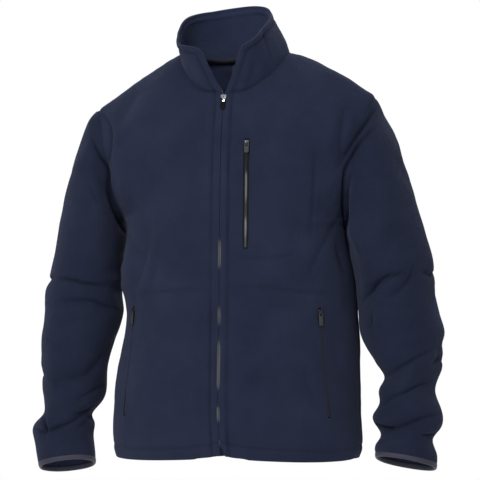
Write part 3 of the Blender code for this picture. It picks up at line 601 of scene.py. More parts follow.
# %% Folds of the left sleeve, from the front
LEFT_SLEEVE_FOLDS = [
    (4.5, 8, [(249, 97), (228, 128), (208, 158), (192, 186), (187, 198)], 0.4, 6),
    (
        3.5, 8, [(248, 130), (222, 158), (202, 189), (193, 217), (191, 256), (191, 290), (194, 329),
        (201, 362)], -0.3, 6
    ),
    (-3.0, 6, [(235, 133), (215, 162), (197, 193)]),
    (-6.5, 11, [(210, 221), (209, 256), (209, 292), (213, 329), (220, 365)]),
    (4.0, 9, [(194, 90), (186, 149), (186, 202)], 0, 1.8),
    (3.2, 17, [(196, 318), (205, 350), (213, 385), (217, 420), (220, 458)]),
    (2.5, 10, [(269, 328), (292, 320), (314, 311)]),
    (5.0, 9, [(225, 443), (242, 426), (255, 409), (276, 398), (302, 393)], 0.4, 4.5),
    (4.0, 9, [(317, 380), (311, 403), (294, 422), (273, 437)], 0.3, 2.5),
    (-5.0, 8, [(231, 414), (240, 409), (253, 398)]),
    (3.0, 8, [(242, 464), (240, 481), (238, 495)], 0, 2),
    (6.0, 12, [(354, 529), (328, 543), (309, 554), (291, 565), (264, 582)], -0.4, 2),
    (-3.5, 8, [(317, 565), (305, 589), (294, 610)]),
    (5.5, 12, [(354, 586), (325, 599), (298, 610), (279, 617), (256, 634)], -0.4, 2),
    (6.0, 9, [(365, 650), (336, 655), (309, 667), (279, 678), (253, 679)], 0.5, 3),
    (-2.5, 6, [(251, 702), (292, 697), (346, 684)]),
    (3.0, 5, [(359, 686), (346, 687), (330, 686)], 0.3, 2.5),
    (3.0, 6, [(244, 664), (256, 671), (270, 675), (284, 676)], 0.2, 4),
]
print(len(LEFT_SLEEVE_FOLDS), "folds")

# %% Folds of the fronts and the collar
FRONT_FOLDS = [
    (2.4, 9, [(-196, 330), (-176, 356), (-150, 392)], 0.3, 1.2),
    (2.0, 10, [(-186, 392), (-160, 402), (-130, 406)]),
    (2.4, 9, [(183, 285), (160, 330), (128, 392)], -0.3, 1.0),
    (2.0, 12, [(-60, 560), (-52, 610), (-56, 664)]),
    (2.0, 11, [(118, 560), (128, 600), (150, 640)], 0.2, 0.8),
    (3.2, 12, [(-156, 322), (-166, 369), (-181, 419)], 0.3, 1.5),
    (2.5, 10, [(-140, 349), (-148, 387), (-158, 430)]),
    (3.0, 16, [(-177, 67), (-199, 103), (-224, 140)]),
    (1.8, 12, [(100, 311), (107, 337), (116, 364)]),
    (3.0, 10, [(174, 337), (183, 369), (194, 401)], -0.3, 2),
    (1.8, 12, [(109, 428), (120, 450), (130, 473)]),
    (3.0, 12, [(168, 506), (181, 553), (195, 603)]),
    (1.8, 14, [(-158, 526), (-140, 580), (-134, 643)]),
    (1.8, 14, [(44, 499), (37, 562), (40, 625)]),
    (3.0, 8, [(46, -45), (55, -14), (66, 18)], 0.3, 1.5),
    (2.5, 8, [(33, 16), (24, 45), (17, 74)]),
    (2.0, 9, [(-93, 16), (-78, 41), (-62, 63)]),
]
print(len(FRONT_FOLDS), "folds")

# %% Folds of the back
BACK_FOLDS = [
    (4.5, 15, [(-190, 158), (-166, 212), (-157, 268), (-160, 318)], 0.4, 1.6),
    (5.0, 14, [(193, 188), (172, 244), (161, 312), (163, 372)], -0.4, 1.8),
    (3.0, 16, [(-92, 190), (-78, 270), (-84, 350)]),
    (3.0, 15, [(84, 210), (72, 290), (80, 380)]),
    (3.5, 12, [(-196, 470), (-140, 486), (-80, 480)], 0.3, 1.5),
    (3.0, 13, [(40, 468), (104, 482), (170, 470)], 0.3, 1.5),
    (2.2, 15, [(-120, 560), (-100, 620), (-108, 690)]),
    (2.2, 15, [(96, 560), (84, 630), (92, 700)]),
    (2.5, 10, [(-52, 20), (0, 32), (50, 22)]),
    (6.0, 10, [(-338, 402), (-300, 420), (-262, 416), (-238, 398)], 0.5, 5),
    (4.5, 10, [(-342, 452), (-304, 462), (-262, 452)], 0.3, 3),
    (5.5, 9, [(-352, 560), (-318, 574), (-282, 566)], -0.4, 4),
    (6.5, 8, [(-356, 640), (-318, 652), (-280, 640)], 0.5, 5),
    (6.0, 10, [(330, 410), (296, 424), (258, 418), (236, 402)], -0.5, 5),
    (4.5, 10, [(334, 460), (298, 468), (256, 456)], -0.3, 3),
    (5.5, 9, [(342, 572), (308, 582), (272, 570)], 0.4, 4),
    (6.5, 8, [(346, 646), (310, 656), (276, 644)], -0.5, 5),
]
print(len(BACK_FOLDS), "folds")

# %% Folds seen from the sides: the outside of each sleeve, and the body under each arm
SIDE_FOLDS = {
    90: [
        (4.0, 13, [(-4, 150), (18, 200), (40, 262)], 0.3, 2.5),
        (4.5, 10, [(-48, 392), (-8, 400), (34, 390)], 0.4, 3.5),
        (4.5, 9, [(-52, 566), (-18, 556), (16, 566)], -0.3, 3.5),
    ],
    -90: [
        (4.0, 13, [(2, 156), (-20, 210), (-42, 270)], -0.3, 2.5),
        (4.5, 10, [(46, 404), (8, 412), (-32, 400)], -0.4, 3.5),
        (4.5, 9, [(50, 600), (16, 590), (-16, 598)], 0.3, 3.5),
    ],
    100: [(3.5, 12, [(-60, 420), (-10, 440), (40, 430)], 0.3, 2)],
    -100: [(3.5, 12, [(56, 430), (6, 446), (-44, 436)], -0.3, 2)],
}
FOLDS = [(CAMERA_TURN, part) for part in (RIGHT_SLEEVE_FOLDS, LEFT_SLEEVE_FOLDS, FRONT_FOLDS)]
FOLDS += [(180, BACK_FOLDS), *SIDE_FOLDS.items()]
print("folds in all:", sum(len(folds) for _, folds in FOLDS))

# %% Lines of stitches on the fronts, seen by the product camera
SEWN_LINES = [
    [(-187, 436), (-134, 427), (-98, 425), (-62, 423), (-43, 422)],
    [(-17, 418), (21, 418), (51, 420), (112, 427), (176, 434)],
    [(140, 158), (138, 220), (134, 290), (130, 335)],
    [(-12, 365), (30, 366), (82, 364), (112, 350)],
]
print("seams of the pocket bags:", len(SEWN_LINES), "lines")

# %% How one fold moves the cloth
FOLD_STEP, FOLD_REACH, STEP_WIDE, CREASE_WIDE = 0.0025, 3.6, 0.0026, 0.0030
SWELL, SWELL_AT, SWELL_WIDE = 0.35, 2.2, 1.2
WOBBLE, WOBBLES_A_METRE, WOBBLES_A_FOLD = 0.3, 9, 5
FADE_START, FADE_POWER = 0.015, 0.5
pinched = np.zeros(len(cloth_at))


def bell(x):
    """1 where x is 0, and nearly nothing from 2 on."""
    return np.exp(-(x**2))


def rumple(size):
    """Smooth noise at each cloth point, in bumps of about this size."""
    return np.array([noise.noise(Vector(co) / size) for co in cloth_at])


def nearest_on(line, reach):
    """The cloth points within reach of a line: their numbers, and the nearest line point of each."""
    box = ((cloth_at > line.min(0) - reach) & (cloth_at < line.max(0) + reach)).all(1)
    near = np.flatnonzero(box)
    apart = np.linalg.norm(cloth_at[near, None] - line[None], axis=2)
    closest = apart.argmin(1)
    keep = apart[np.arange(len(near)), closest] < reach
    return near[keep], closest[keep]


def pressed(turn, depth, width, points, lean=0.0, crease=0.0):
    """How far, in metres, one fold moves each cloth point out."""
    line = np.array(thrown(turn, points, FOLD_STEP))
    width *= MM
    near, closest = nearest_on(line, width * FOLD_REACH)
    share = closest / (len(line) - 1)
    from_line = cloth_at[near] - line[closest]
    left_of_it = (from_line * np.cross(cloth_out[near], np.gradient(line, axis=0)[closest])).sum(1)
    start = Vector(line[0]) * WOBBLES_A_METRE
    wobble = [1 + WOBBLE * noise.noise(start + Vector((WOBBLES_A_FOLD * part, 0, 0))) for part in share]
    fade = np.sin(np.pi * np.clip(share, FADE_START, 1 - FADE_START)) ** FADE_POWER
    apart = np.linalg.norm(from_line, axis=1)
    far = apart / (width * np.array(wobble))
    trough = -bell(far) + SWELL * bell((far - SWELL_AT) / SWELL_WIDE)
    step = np.tanh(apart / STEP_WIDE) * np.sign(left_of_it) * bell(far)
    pinch = fade * bell(apart / CREASE_WIDE) * crease * MM
    # The deepest pinch at each point is kept, to paint shade into the crease
    pinched[near] = np.maximum(pinched[near], pinch)
    amount = np.zeros(len(cloth_at))
    amount[near] = depth * MM * fade * ((1 - abs(lean)) * trough + lean * step) - pinch
    return amount


def swollen(turn, across, drop, height, width):
    """Lifts the cloth all round a line of sight, so that the sleeve and the body press together there."""
    back = np.array(away(turn))
    right = np.array([-back[1], back[0], 0])
    middle = np.array(PICTURE_MIDDLE) * (1, 1, 0)
    aim = middle - right * (middle @ right) + right * across * MM - np.array([0, 0, drop * MM])
    start = np.array(PICTURE_MIDDLE) + back * CAMERA_FAR
    sight = (aim - start) / np.linalg.norm(aim - start)
    beyond = cloth_at - start
    apart = np.linalg.norm(beyond - (beyond @ sight)[:, None] * sight, axis=1)
    return height * MM * bell(apart / (width * MM))


print("a fold reaches", FOLD_REACH, "widths from its line")

# %% Press all the folds in, and drape the cloth between them
TOUCHING = [(203, 322, 4.4, 22), (-207, 393, 4.6, 15), (-206, 417, 4.8, 15)]
DRAPE = ((0.110, 2.0), (0.045, 1.4), (0.018, 0.5))
SEAM_SINK, SEAM_WIDE, SEAM_UNEVEN, SEAM_BUMP = 1.9, 3.8, 0.5, 0.05
SMOOTH_SEAMS, SMOOTHED, SMOOTH_REACH = [(-242, 153), (226, 124)], 0.8, 0.045
PUCKER, PUCKER_STEP, PUCKER_WIDE = 0.55, 0.011, 9.0
lift = sum(swollen(CAMERA_TURN, *place) for place in TOUCHING)
for turn, folds in FOLDS:
    for fold in folds:
        lift += pressed(turn, *fold)
for size, height in DRAPE:
    lift += height * MM * rumple(size)
seam = bell(from_seam / (SEAM_WIDE * MM))
for across, drop in SMOOTH_SEAMS:
    place = thrown(CAMERA_TURN, [(across, drop), (across, drop + 1)], MM)[0]
    seam *= 1 - SMOOTHED * bell(np.linalg.norm(cloth_at - np.array(place), axis=1) / SMOOTH_REACH)
lift -= SEAM_SINK * MM * seam * (1 + SEAM_UNEVEN * rumple(SEAM_BUMP))
lift += PUCKER * MM * rumple(PUCKER_STEP) * bell(from_seam / (PUCKER_WIDE * MM))
print("deepest", round(lift.min() / MM, 1), "mm, highest", round(lift.max() / MM, 1), "mm")

# %% [markdown]
# # Borders
# The welded cloth has six borders: one runs round the hem, up one front edge, round the collar and down the
# other front edge, two are the cuffs, and three are the slots of the pocket zips. Each border point knows
# the way into the cloth and the way out of it, so that trimmings can be set beside it.

# %% Border lines
Border = namedtuple("Border", "at into out")


def unit(rows):
    return rows / np.linalg.norm(rows, axis=-1, keepdims=True)


def border_at(points, cloth=None):
    """The frames of a stretch of border, as arrays of places, ways into the cloth and ways out of it."""
    at, out = (cloth_at if cloth is None else cloth)[points], unit(cloth_out[points])
    along = unit(np.gradient(at, axis=0))
    into = unit(np.cross(out, along))
    return Border(at, into, out)


def border_loops():
    """The numbers of the cloth points round each border, in order, with the cloth on the left."""
    after = {}
    for edge in fine_bm.edges:
        if edge.is_boundary:
            corner = edge.link_loops[0]
            after[corner.vert.index] = corner.link_loop_next.vert.index
    while after:
        first = next(iter(after))
        loop = [first]
        point = after.pop(first)
        while point != first:
            loop.append(point)
            point = after.pop(point)
        yield loop


def cut_at_corners(loop):
    """The loop's four stretches between its corners, each with both of its corners."""
    found = [k for k, number in enumerate(loop) if number in corners]
    loop = loop[found[0] :] + loop[: found[0] + 1]
    cuts = [k - found[0] for k in found] + [len(loop) - 1]
    return [loop[a : b + 1] for a, b in zip(cuts, cuts[1:])]


def middle_x(points):
    return cloth_at[points].mean(0)[0]


loops = sorted(border_loops(), key=len)
slot_loops = dict(zip(("hand_right", "chest", "hand_left"), sorted(loops[:-3], key=middle_x)))
main_parts = sorted(cut_at_corners(loops[-1]), key=lambda part: cloth_at[part].mean(0)[2])
hem_part, collar_part = main_parts[0], main_parts[-1]
front_parts = dict(zip(("right", "left"), sorted(main_parts[1:3], key=middle_x)))
print("borders:", [len(loop) for loop in loops], "points; the longest in", len(main_parts), "parts")

# %% Rows of stitches draw the cloth in, and near a border the folds die away
CALM = 0.020
PLACKET_LINE, HEM_LINE, SLOT_LINE = 0.012, 0.022, 0.0065
PLACKET_PUFF, HEM_PUFF = 0.0055, 0.012
PLACKET_DEEP, PLACKET_UNEVEN, WANDER_SIZE, WANDER = 1.5, 0.6, 0.045, 0.0010


def dip(distance, line, depth=0.7, width=3.0):
    """A trough of depth and width in mm, where the distance from a border is that of the line."""
    return -depth * MM * bell((distance - line) / (width * MM))


from_front = distance_from(cloth_at[[i for part in front_parts.values() for i in part]])
from_slot = distance_from(cloth_at[[i for loop in slot_loops.values() for i in loop]])
from_hem = distance_from(cloth_at[hem_part])
from_turned = np.minimum(from_front, distance_from(cloth_at[collar_part]))
calm = np.clip(np.minimum(from_front, np.minimum(from_slot, from_hem)) / CALM, 0, 1)
lift *= calm * calm * (3 - 2 * calm)
wander = rumple(WANDER_SIZE)
placket = dip(from_turned + WANDER * wander, PLACKET_LINE, 1, 2.8) * (1 + PLACKET_UNEVEN * wander)
lift += PLACKET_DEEP * placket + dip(from_turned, PLACKET_PUFF, -0.9, 3.5)
lift += dip(from_slot, SLOT_LINE, 0.7, 2.5)
# The pocket bags' seams are pinched, and shade is painted along them
for line in SEWN_LINES:
    lift += pressed(CAMERA_TURN, depth=0.7, width=4, points=line, crease=1.3)
lift += dip(from_hem, HEM_LINE, 1.1) + dip(from_hem, HEM_PUFF, -0.6, 7.0)
print("calm points", int((calm < 1).sum()), "of", len(calm))

# %% Lips beside the zips: how many mm the cloth has crept over them, by drop
LIP_REACH, SAME_SIDE = 0.008, -0.0005
FRONT_LIPS = [
    (70, 0.0), (90, 2.8), (330, 2.8), (338, 0.4), (378, 0.4), (386, 2.7), (450, 2.7), (457, 0.5),
    (478, 0.5), (486, 2.8), (510, 2.8), (520, 0.3), (592, 0.3), (600, 2.8), (626, 2.8), (632, 0.5),
    (650, 0.5), (658, 2.7), (690, 2.7), (700, 2.7),
]
LIPS = {
    "left": [*FRONT_LIPS, (704, -2.0), (717, -2.6), (724, -5.5)],
    "right": [*FRONT_LIPS, (704, 1.6), (724, 1.4)],
    "chest": [(158, 0.0), (170, -1.6), (333, -1.6), (345, 0.0)],
    "hand_right": [(475, 0.0), (495, 2.6), (600, 2.6), (615, 0.8), (650, 0.0)],
    "hand_left": [(475, 0.0), (490, 1.8), (515, 1.0), (545, 1.9), (620, 1.6), (650, 0.0)],
}


def creep(points, table):
    """Moves the cloth beside a border towards it, by the mm that a table of (drop, mm) gives."""
    border = border_at(points, lifted_at)
    tree = tree_of(border.at)
    for i in np.flatnonzero(np.minimum(from_front, from_slot) < LIP_REACH):
        _, number, apart = tree.find(lifted_at[i])
        inside = (lifted_at[i] - border.at[number]) @ border.into[number] > SAME_SIDE
        if apart < LIP_REACH and inside:
            share = math.cos(apart / LIP_REACH * math.pi / 2) ** 2
            amount = np.interp(-lifted_at[i][2] / MM, *zip(*table)) * MM
            cloth_at[i] -= border.into[number] * amount * share


cloth_was, smooth_out = cloth_at, cloth_out
lifted_at = cloth_was + smooth_out * lift[:, None]
cloth_at = lifted_at.copy()
for name, points in {**front_parts, **slot_loops}.items():
    creep(points, LIPS[name])
print("folded cloth, moved at most", round(float(np.abs(lift).max()) / MM, 1), "mm")

# %% Fold the mesh, and paint shade into its creases, seams and stitch grooves
PINCH_OF_FULL_PAINTED_SHADE, PAINTED_SHADE_IN_SEAMS, PAINTED_SHADE_IN_GROOVES = 0.0045, 0.25, 0.4
put_places(fine, cloth_at)
grooves = placket + dip(from_hem, HEM_LINE, 0.6, 2.5)
# Painted shade: each point's darkening, from the pinch of its crease, from the seams and from the stitch
# grooves
amount = pinched / PINCH_OF_FULL_PAINTED_SHADE + PAINTED_SHADE_IN_SEAMS * seam - PAINTED_SHADE_IN_GROOVES * grooves / MM
painted_crease_shade = fine.attributes.new("painted_crease_shade", "FLOAT", "POINT")
painted_crease_shade.data.foreach_set("value", np.clip(amount, 0, 1))
cloth_out = directions(fine)
fine_bm.free()
fine_bm = bmesh_of(fine)
surface = BVHTree.FromBMesh(fine_bm)
was_tree = tree_of(cloth_was)
print("nap pressed at", int((amount > 0.5).sum()), "points")

# %% [markdown]
# # The sewn pieces
# Each piece is cut out of the folded cloth and given its thickness inward, two layers of fleece at the front
# edges, at the hem and in the collar. Its rim is rounded, so that two pieces meet in a soft valley.

# %% Walls
CLOTH_THICK, DOUBLE_THICK, THINS_OVER = 0.0026, 0.0046, 0.004
RIM_ROUND = 0.0010
turned = np.minimum(from_front - PLACKET_LINE, from_hem - HEM_LINE)
thick = DOUBLE_THICK + (CLOTH_THICK - DOUBLE_THICK) * np.clip(turned / THINS_OVER + 0.5, 0, 1)


def walled(number):
    """One piece as a closed wall with round rims."""
    bm = bmesh_of(fine)
    source = bm.verts.layers.int.new("source")
    for vert in bm.verts:
        vert[source] = vert.index
    others = [face for face in bm.faces if face.material_index != number]
    bmesh.ops.delete(bm, geom=others, context="FACES")
    made = bmesh.ops.extrude_face_region(bm, geom=bm.faces[:], use_keep_orig=True)
    inner = {item for item in made["geom"] if isinstance(item, bmesh.types.BMVert)}
    in_collar = CLOTH_PIECES[number] == "collar"
    for vert in inner:
        point = vert[source]
        vert.co -= Vector(smooth_out[point]) * (DOUBLE_THICK if in_collar else thick[point])
    for face in smooth(bm).faces:
        face.material_index = int(all(vert in inner for vert in face.verts))
    rim = {face for face in bm.faces if 0 < sum(vert in inner for vert in face.verts) < len(face.verts)}
    lips = [edge for edge in bm.edges if sum(face in rim for face in edge.link_faces) == 1]
    bmesh.ops.recalc_face_normals(bm, faces=bm.faces)
    rounded(bm, lips, RIM_ROUND, 2, clamp=True)
    bm.verts.layers.int.remove(source)
    return bm


print("cloth", CLOTH_THICK / MM, "mm thick,", DOUBLE_THICK / MM, "mm where it is double")

# %% Finished pieces
def add_piece(name, mesh, material, body="jacket", *, replaces=()):
    """A finished piece: its object, its material, what it rides on and what it stands for."""
    piece = added(name, mesh)
    for item in material if isinstance(material, list) else [material]:
        mesh.materials.append(item)
    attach(piece, body)
    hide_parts(*replaces)
    return piece


for number, node in enumerate(CLOTH_PIECES):
    # The sleeves take the darker copy with painted shade; every inner face takes the lighter copy with
    # painted light
    finish = [sleeve_fleece_painted_shade if "sleeve" in node else fleece, inner_fleece_painted_light]
    piece = add_piece("cloth_" + node, to_mesh(walled(number), node), finish, replaces=[node])
    print(piece.name, len(piece.data.polygons), "faces")

# %% [markdown]
# # Small parts, repeated and swept
# One helper sets copies of a small shape at many places, for stitches and zip teeth. Another draws a
# cross-section along a line of frames, for tapes and cords. A frame is a place, a way across and a way out.

# %% Repeat
def repeated(base, matrices):
    """One mesh with a copy of the base shape at each matrix."""
    base_mesh = to_mesh(base, "base")
    co = np.c_[places(base_mesh), np.ones(len(base_mesh.vertices))]
    faces = [tuple(face.vertices) for face in base_mesh.polygons]
    bpy.data.meshes.remove(base_mesh)
    grid = np.einsum("mij,vj->mvi", np.array(matrices), co)[:, :, :3]
    count = len(co)
    mesh = bpy.data.meshes.new("repeated")
    everywhere = [tuple(i + k * count for i in face) for k in range(len(matrices)) for face in faces]
    mesh.from_pydata(grid.reshape(-1, 3).tolist(), [], everywhere)
    mesh.shade_smooth()
    return mesh


def axes_at(at, *axes):
    return Matrix.Translation(Vector(at)) @ Matrix(axes).transposed().to_4x4()


def frame_matrix(at, along, out):
    """A matrix with X along and Z out."""
    along = Vector(along).normalized()
    side = Vector(out).cross(along).normalized()
    return axes_at(at, along, side, along.cross(side))


def joined(parts):
    """Several bmeshes or meshes as one mesh."""
    bm = bmesh.new()
    for part in parts:
        mesh = part if isinstance(part, bpy.types.Mesh) else to_mesh(part, "part")
        bm.from_mesh(mesh)
        bpy.data.meshes.remove(mesh)
    return to_mesh(bm, "joined")


print("stitches and teeth are repeated, tapes and cords are swept")

# %% Sweep
SEAM_OF_TUBE = 1e-6


def swept(line, section):
    """A closed tube along frames. Its section is (across, out) pairs in mm, or a function of a place."""
    profiles = [section(at) if callable(section) else section for at in line.at]
    sides = len(profiles[0])
    bm = bmesh.new()
    bmesh.ops.create_grid(bm, x_segments=sides, y_segments=len(profiles) - 1, size=1)
    bm.verts.ensure_lookup_table()
    for j, (at, across, out, profile) in enumerate(zip(*line, profiles)):
        for k in range(sides + 1):
            a, b = profile[k % sides]
            bm.verts[j * (sides + 1) + k].co = Vector(at) + (Vector(across) * a + Vector(out) * b) * MM
    bmesh.ops.remove_doubles(bm, verts=bm.verts, dist=SEAM_OF_TUBE)
    bmesh.ops.holes_fill(bm, edges=[edge for edge in bm.edges if edge.is_boundary], sides=0)
    bmesh.ops.recalc_face_normals(bm, faces=bm.faces)
    return smooth(bm)


def round_section(wide, tall, low, sides=10):
    """An oval section whose lowest point is at low."""
    turns = [2 * math.pi * k / sides for k in range(sides)]
    return [(wide / 2 * math.cos(t), low + tall / 2 + tall / 2 * math.sin(t)) for t in turns]


def flat_section(left, right, low, high):
    return [(left, low), (right, low), (right, high), (left, high)]


print("a flat section:", flat_section(-1, 1, 0, 1))

# %% Frames along a border
def upward(border):
    return Border(*(rows[::-1] for rows in border)) if border.at[0][2] > border.at[-1][2] else border


def even(border, step, skip_start=0.0, skip_end=0.0):
    """The border's frames at equal steps, leaving out a length at each end."""
    along = lengths_along(border.at)
    wanted = steps_between(skip_start, along[-1] - skip_end, step)
    at, into, out = (taken_at(wanted, along, part) for part in border)
    return Border(at, unit(into), unit(out))


def softened(border, rounds=6):
    """The same frames with their directions averaged along the line, so that a tape runs smoothly."""
    at, into, out = (np.array(part) for part in border)
    for _ in range(rounds):
        for part in (into, out):
            part[1:-1] = (part[:-2] + 2 * part[1:-1] + part[2:]) / 4
    return Border(at, unit(into), unit(out))


print("the hem in steps of 1 cm:", len(even(border_at(hem_part), 0.01).at), "frames")

# %% [markdown]
# # Stitches
# A stitch is a short thread, half sunk in the pile. The lines run beside the front edges up to the collar's
# top, round the hem and the pocket slots, and where the pocket bags are sewn to the fronts.

# %% Stitches
STITCH, STITCH_PITCH, THREAD = 0.0024, 0.0034, 0.00042
SEWN_STEP, BAG_STEP, EDGE_END, HEM_END = 0.006, 0.003, 0.008, 0.014
thread = plain_material("navy thread", (0.0055, 0.007, 0.0145), 0.7, specular=0.15)
set_sheen(thread, 0.02, 0.4, (0.6, 0.65, 0.9))


def beside(border, distance):
    """The line on the cloth at a distance inside a border."""
    return np.array([surface.find_nearest(Vector(at))[0] for at in border.at + border.into * distance])


def stitches_along(line):
    """A matrix for each stitch of a line on the cloth."""
    line = resampled(np.array(line), STITCH_PITCH)
    found = []
    for a, b in zip(line, line[1:]):
        at, out = surface.find_nearest(Vector((a + b) / 2))[:2]
        found.append(frame_matrix(at - out * THREAD * 0.5, b - a, out))
    return found


def stitch_shape():
    bm = bmesh.new()
    bmesh.ops.create_uvsphere(bm, u_segments=6, v_segments=4, radius=1)
    bmesh.ops.rotate(bm, matrix=Matrix.Rotation(math.pi / 2, 3, "Y"), verts=bm.verts)
    bmesh.ops.scale(bm, vec=(STITCH / 2, THREAD, THREAD), verts=bm.verts)
    return bm


edges = [softened(upward(border_at(part))) for part in front_parts.values()]
edges = [even(edge, SEWN_STEP, SEWN_STEP, EDGE_END) for edge in edges]
edges.append(even(softened(border_at(collar_part)), SEWN_STEP, SEWN_STEP, SEWN_STEP))
lines = [beside(edge, PLACKET_LINE) for edge in edges]
lines += [thrown(CAMERA_TURN, line, BAG_STEP) for line in SEWN_LINES]
rings = [beside(border_at(loop), SLOT_LINE) for loop in slot_loops.values()]
lines += [np.concatenate([ring, ring[:1]]) for ring in rings]
hem_line = beside(even(border_at(hem_part), SEWN_STEP, HEM_END, HEM_END), HEM_LINE)
sewn = {"fronts": sum(map(stitches_along, lines), []), "hem": stitches_along(hem_line)}
for name, matrices in sewn.items():
    add_piece("stitches_" + name, repeated(stitch_shape(), matrices), thread)
    print("stitches on the", name, len(matrices))

# %% [markdown]
# # The front zip
# Each half is a black woven tape inside the front edge, a cord along the tape's edge and a row of moulded
# teeth on the cord. Below the slider the rows lock together. Above it each follows its own edge of the
# collar.

# %% Teeth
TOOTH_PITCH, TOOTH_LONG, TOOTH_WIDE, TOOTH_TALL, TOOTH_EDGE = 0.0037, 0.0029, 0.0013, 0.0021, 0.0004
tape_black = plain_material("black zip tape", (0.008, 0.008, 0.009), 0.85, specular=0.15)
ribbed(tape_black, "ShaderNodeTexWave", "Fac", 0.0003, 0.6, Scale=900.0, Distortion=0.5)
teeth_grey = plain_material("smoked zip teeth", (0.34, 0.34, 0.35), 0.28, 0.7)
# Painted glints and painted shade: a point attribute blends the teeth between a dark and a bright metal
painted_glint = add_node(teeth_grey, "ShaderNodeAttribute", attribute_name="painted_glint").outputs["Fac"]
wire(teeth_grey, Base_Color=ramp(teeth_grey, painted_glint, (0.014, 0.014, 0.015), (0.40, 0.40, 0.41), 0, 1))
teeth_dark = plain_material("dark zip teeth", (0.018, 0.018, 0.019), 0.40, 0.4)


def block(size, middle):
    bm = bmesh.new()
    bmesh.ops.create_cube(bm, size=1)
    bmesh.ops.scale(bm, vec=size, verts=bm.verts)
    bmesh.ops.translate(bm, vec=middle, verts=bm.verts)
    return bm


def tooth_shape(long):
    """A tooth from its root at 0 to its rounded head along X."""
    tooth = block((long, TOOTH_WIDE, TOOTH_TALL), (long / 2, 0, 0))
    return rounded(tooth, tooth.edges[:], TOOTH_EDGE, 1)


def paint_glints(teeth, table):
    """How bright each tooth is painted, by a table of (drop, amount): painted shade at 0, a painted glint at
    1.
    """
    amount = np.interp(-places(teeth)[:, 2] / MM, *zip(*table))
    teeth.attributes.new("painted_glint", "FLOAT", "POINT").data.foreach_set("value", amount)


print("teeth", TOOTH_PITCH / 2 / MM, "mm apart, on the left and the right in turn")

# %% How the tape lies, in mm from the edge of the cloth
TAPE_THICK, TAPE_DEEP = 0.8, 0.7
TEETH_LOW, TEETH_LOW_OPEN, TEETH_IN_OPEN = 1.6, 4.4, 4.6
TAPE_BACK, TAPE_IN, COLLAR_TAPE_IN, NECK_TAPE_IN, NECK_TAPE_DROP = -2.4, 11.0, 8.0, 4.0, 2.0
CORD_BACK, CORD, TOOTH_BACK = 1.6, (2.0, 3.4, -6.0), 0.35
OPENS_AT, OPENS_OVER, NECK_SEAM, NECK_SEAM_REACH = -0.082, 0.025, -0.078, 0.016  # heights in metres


def opened(at):
    """How far a half of the zip has drawn back behind its edge of the cloth, as it does above the slider."""
    return min(max((at[2] - OPENS_AT) / OPENS_OVER, 0), 1)


def front_tape(at):
    """The tape's section: narrow and further in where the collar's seam crosses it."""
    at_neck = math.exp(-(((at[2] - NECK_SEAM) / NECK_SEAM_REACH) ** 2))
    reach = (TAPE_IN if at[2] < NECK_SEAM else COLLAR_TAPE_IN) * (1 - at_neck) + NECK_TAPE_IN * at_neck
    top = -DOUBLE_THICK / MM - TAPE_DEEP - NECK_TAPE_DROP * at_neck
    edge = TAPE_BACK + TEETH_IN_OPEN * opened(at) * (1 - at_neck)
    return flat_section(edge, reach, top - TAPE_THICK, top)


def set_back(at, into, back):
    """A place behind the edge of the cloth by as much as the zip is open there, less a distance in mm."""
    return at + into * (TEETH_IN_OPEN * opened(at) - back) * MM


def tooth_matrix(at, into, out):
    deep = TEETH_LOW + (TEETH_LOW_OPEN - TEETH_LOW) * opened(at) + TOOTH_TALL / 2 / MM
    return frame_matrix(set_back(at, into, TOOTH_BACK) - out * deep * MM, -into, out)


print("tape", TAPE_IN - TAPE_BACK, "mm wide")

# %% The front zip's halves
TAPE_STEP, ZIP_ENDS, TAPE_TOP, TEETH_INSET = 0.004, 0.021, 0.010, 0.004
# Painted glints on the front teeth: full near the slider, half from a little lower down
FRONT_PAINTED_GLINTS = [(70, 1.0), (120, 0.5), (720, 0.5)]
for side, part in front_parts.items():
    border = upward(border_at(part, lifted_at))
    line = softened(even(border, TAPE_STEP, ZIP_ENDS, TAPE_TOP), rounds=10)
    cord_at = [set_back(at, into, CORD_BACK) for at, into, _ in zip(*line)]
    cord = swept(line._replace(at=cord_at), round_section(*CORD))
    row = even(border, TOOTH_PITCH / 2, ZIP_ENDS + TEETH_INSET, TAPE_TOP + TEETH_INSET)
    frames = list(zip(*softened(row, rounds=30)))[0 if side == "left" else 1 :: 2]
    matrices = [tooth_matrix(*frame) for frame in frames]
    teeth = repeated(tooth_shape(TOOTH_LONG), matrices)
    paint_glints(teeth, FRONT_PAINTED_GLINTS)
    tape = joined([swept(line, front_tape), cord])
    add_piece(f"zip_{side}_tape", tape, tape_black, replaces=["zip_" + side])
    add_piece(f"zip_{side}_teeth", teeth, teeth_grey)
    print("front zip,", side, "half:", len(matrices), "teeth")

# %% [markdown]
# # The pocket zips
# They are closed, so both rows of teeth sit in the middle of their slot, on one black tape behind the front.

# %% Pocket zips
SLOT_TAPE, SLOT_TAPE_DEEP, SLOT_CORD = 8.0, 1.0, (4.6, 2.6, -4.0)
SLOT_TOOTH, SLOT_TOOTH_BACK, SLOT_TEETH_LOW, SLOT_TEETH_END = 0.0027, 2.3, 0.5, 0.003
# Painted glints and painted shade on the chest zip's teeth, stretch by stretch down the slot
CHEST_PAINTED_GLINTS = [(212, 0.0), (220, 0.5), (258, 0.5), (268, 0.1), (292, 0.1), (302, 0.7), (322, 0.6), (330, 0.2)]


def spread(border, count):
    """The border as just so many frames."""
    return even(border, lengths_along(border.at)[-1] / (count - 1))


def slot_line(loop):
    """The frames along the middle of a slot, from its lower end to its upper end."""
    sides = sorted(cut_at_corners(loop), key=len)[-2:]
    left, right = (even(softened(upward(border_at(side, lifted_at))), TAPE_STEP) for side in sides)
    count = min(len(left.at), len(right.at))
    left, right = (spread(side, count) for side in (left, right))
    at = (left.at + right.at) / 2
    into = unit(unit(right.at - left.at) + unit(right.into - left.into))
    return softened(Border(at, into, unit(left.out + right.out)), rounds=12)


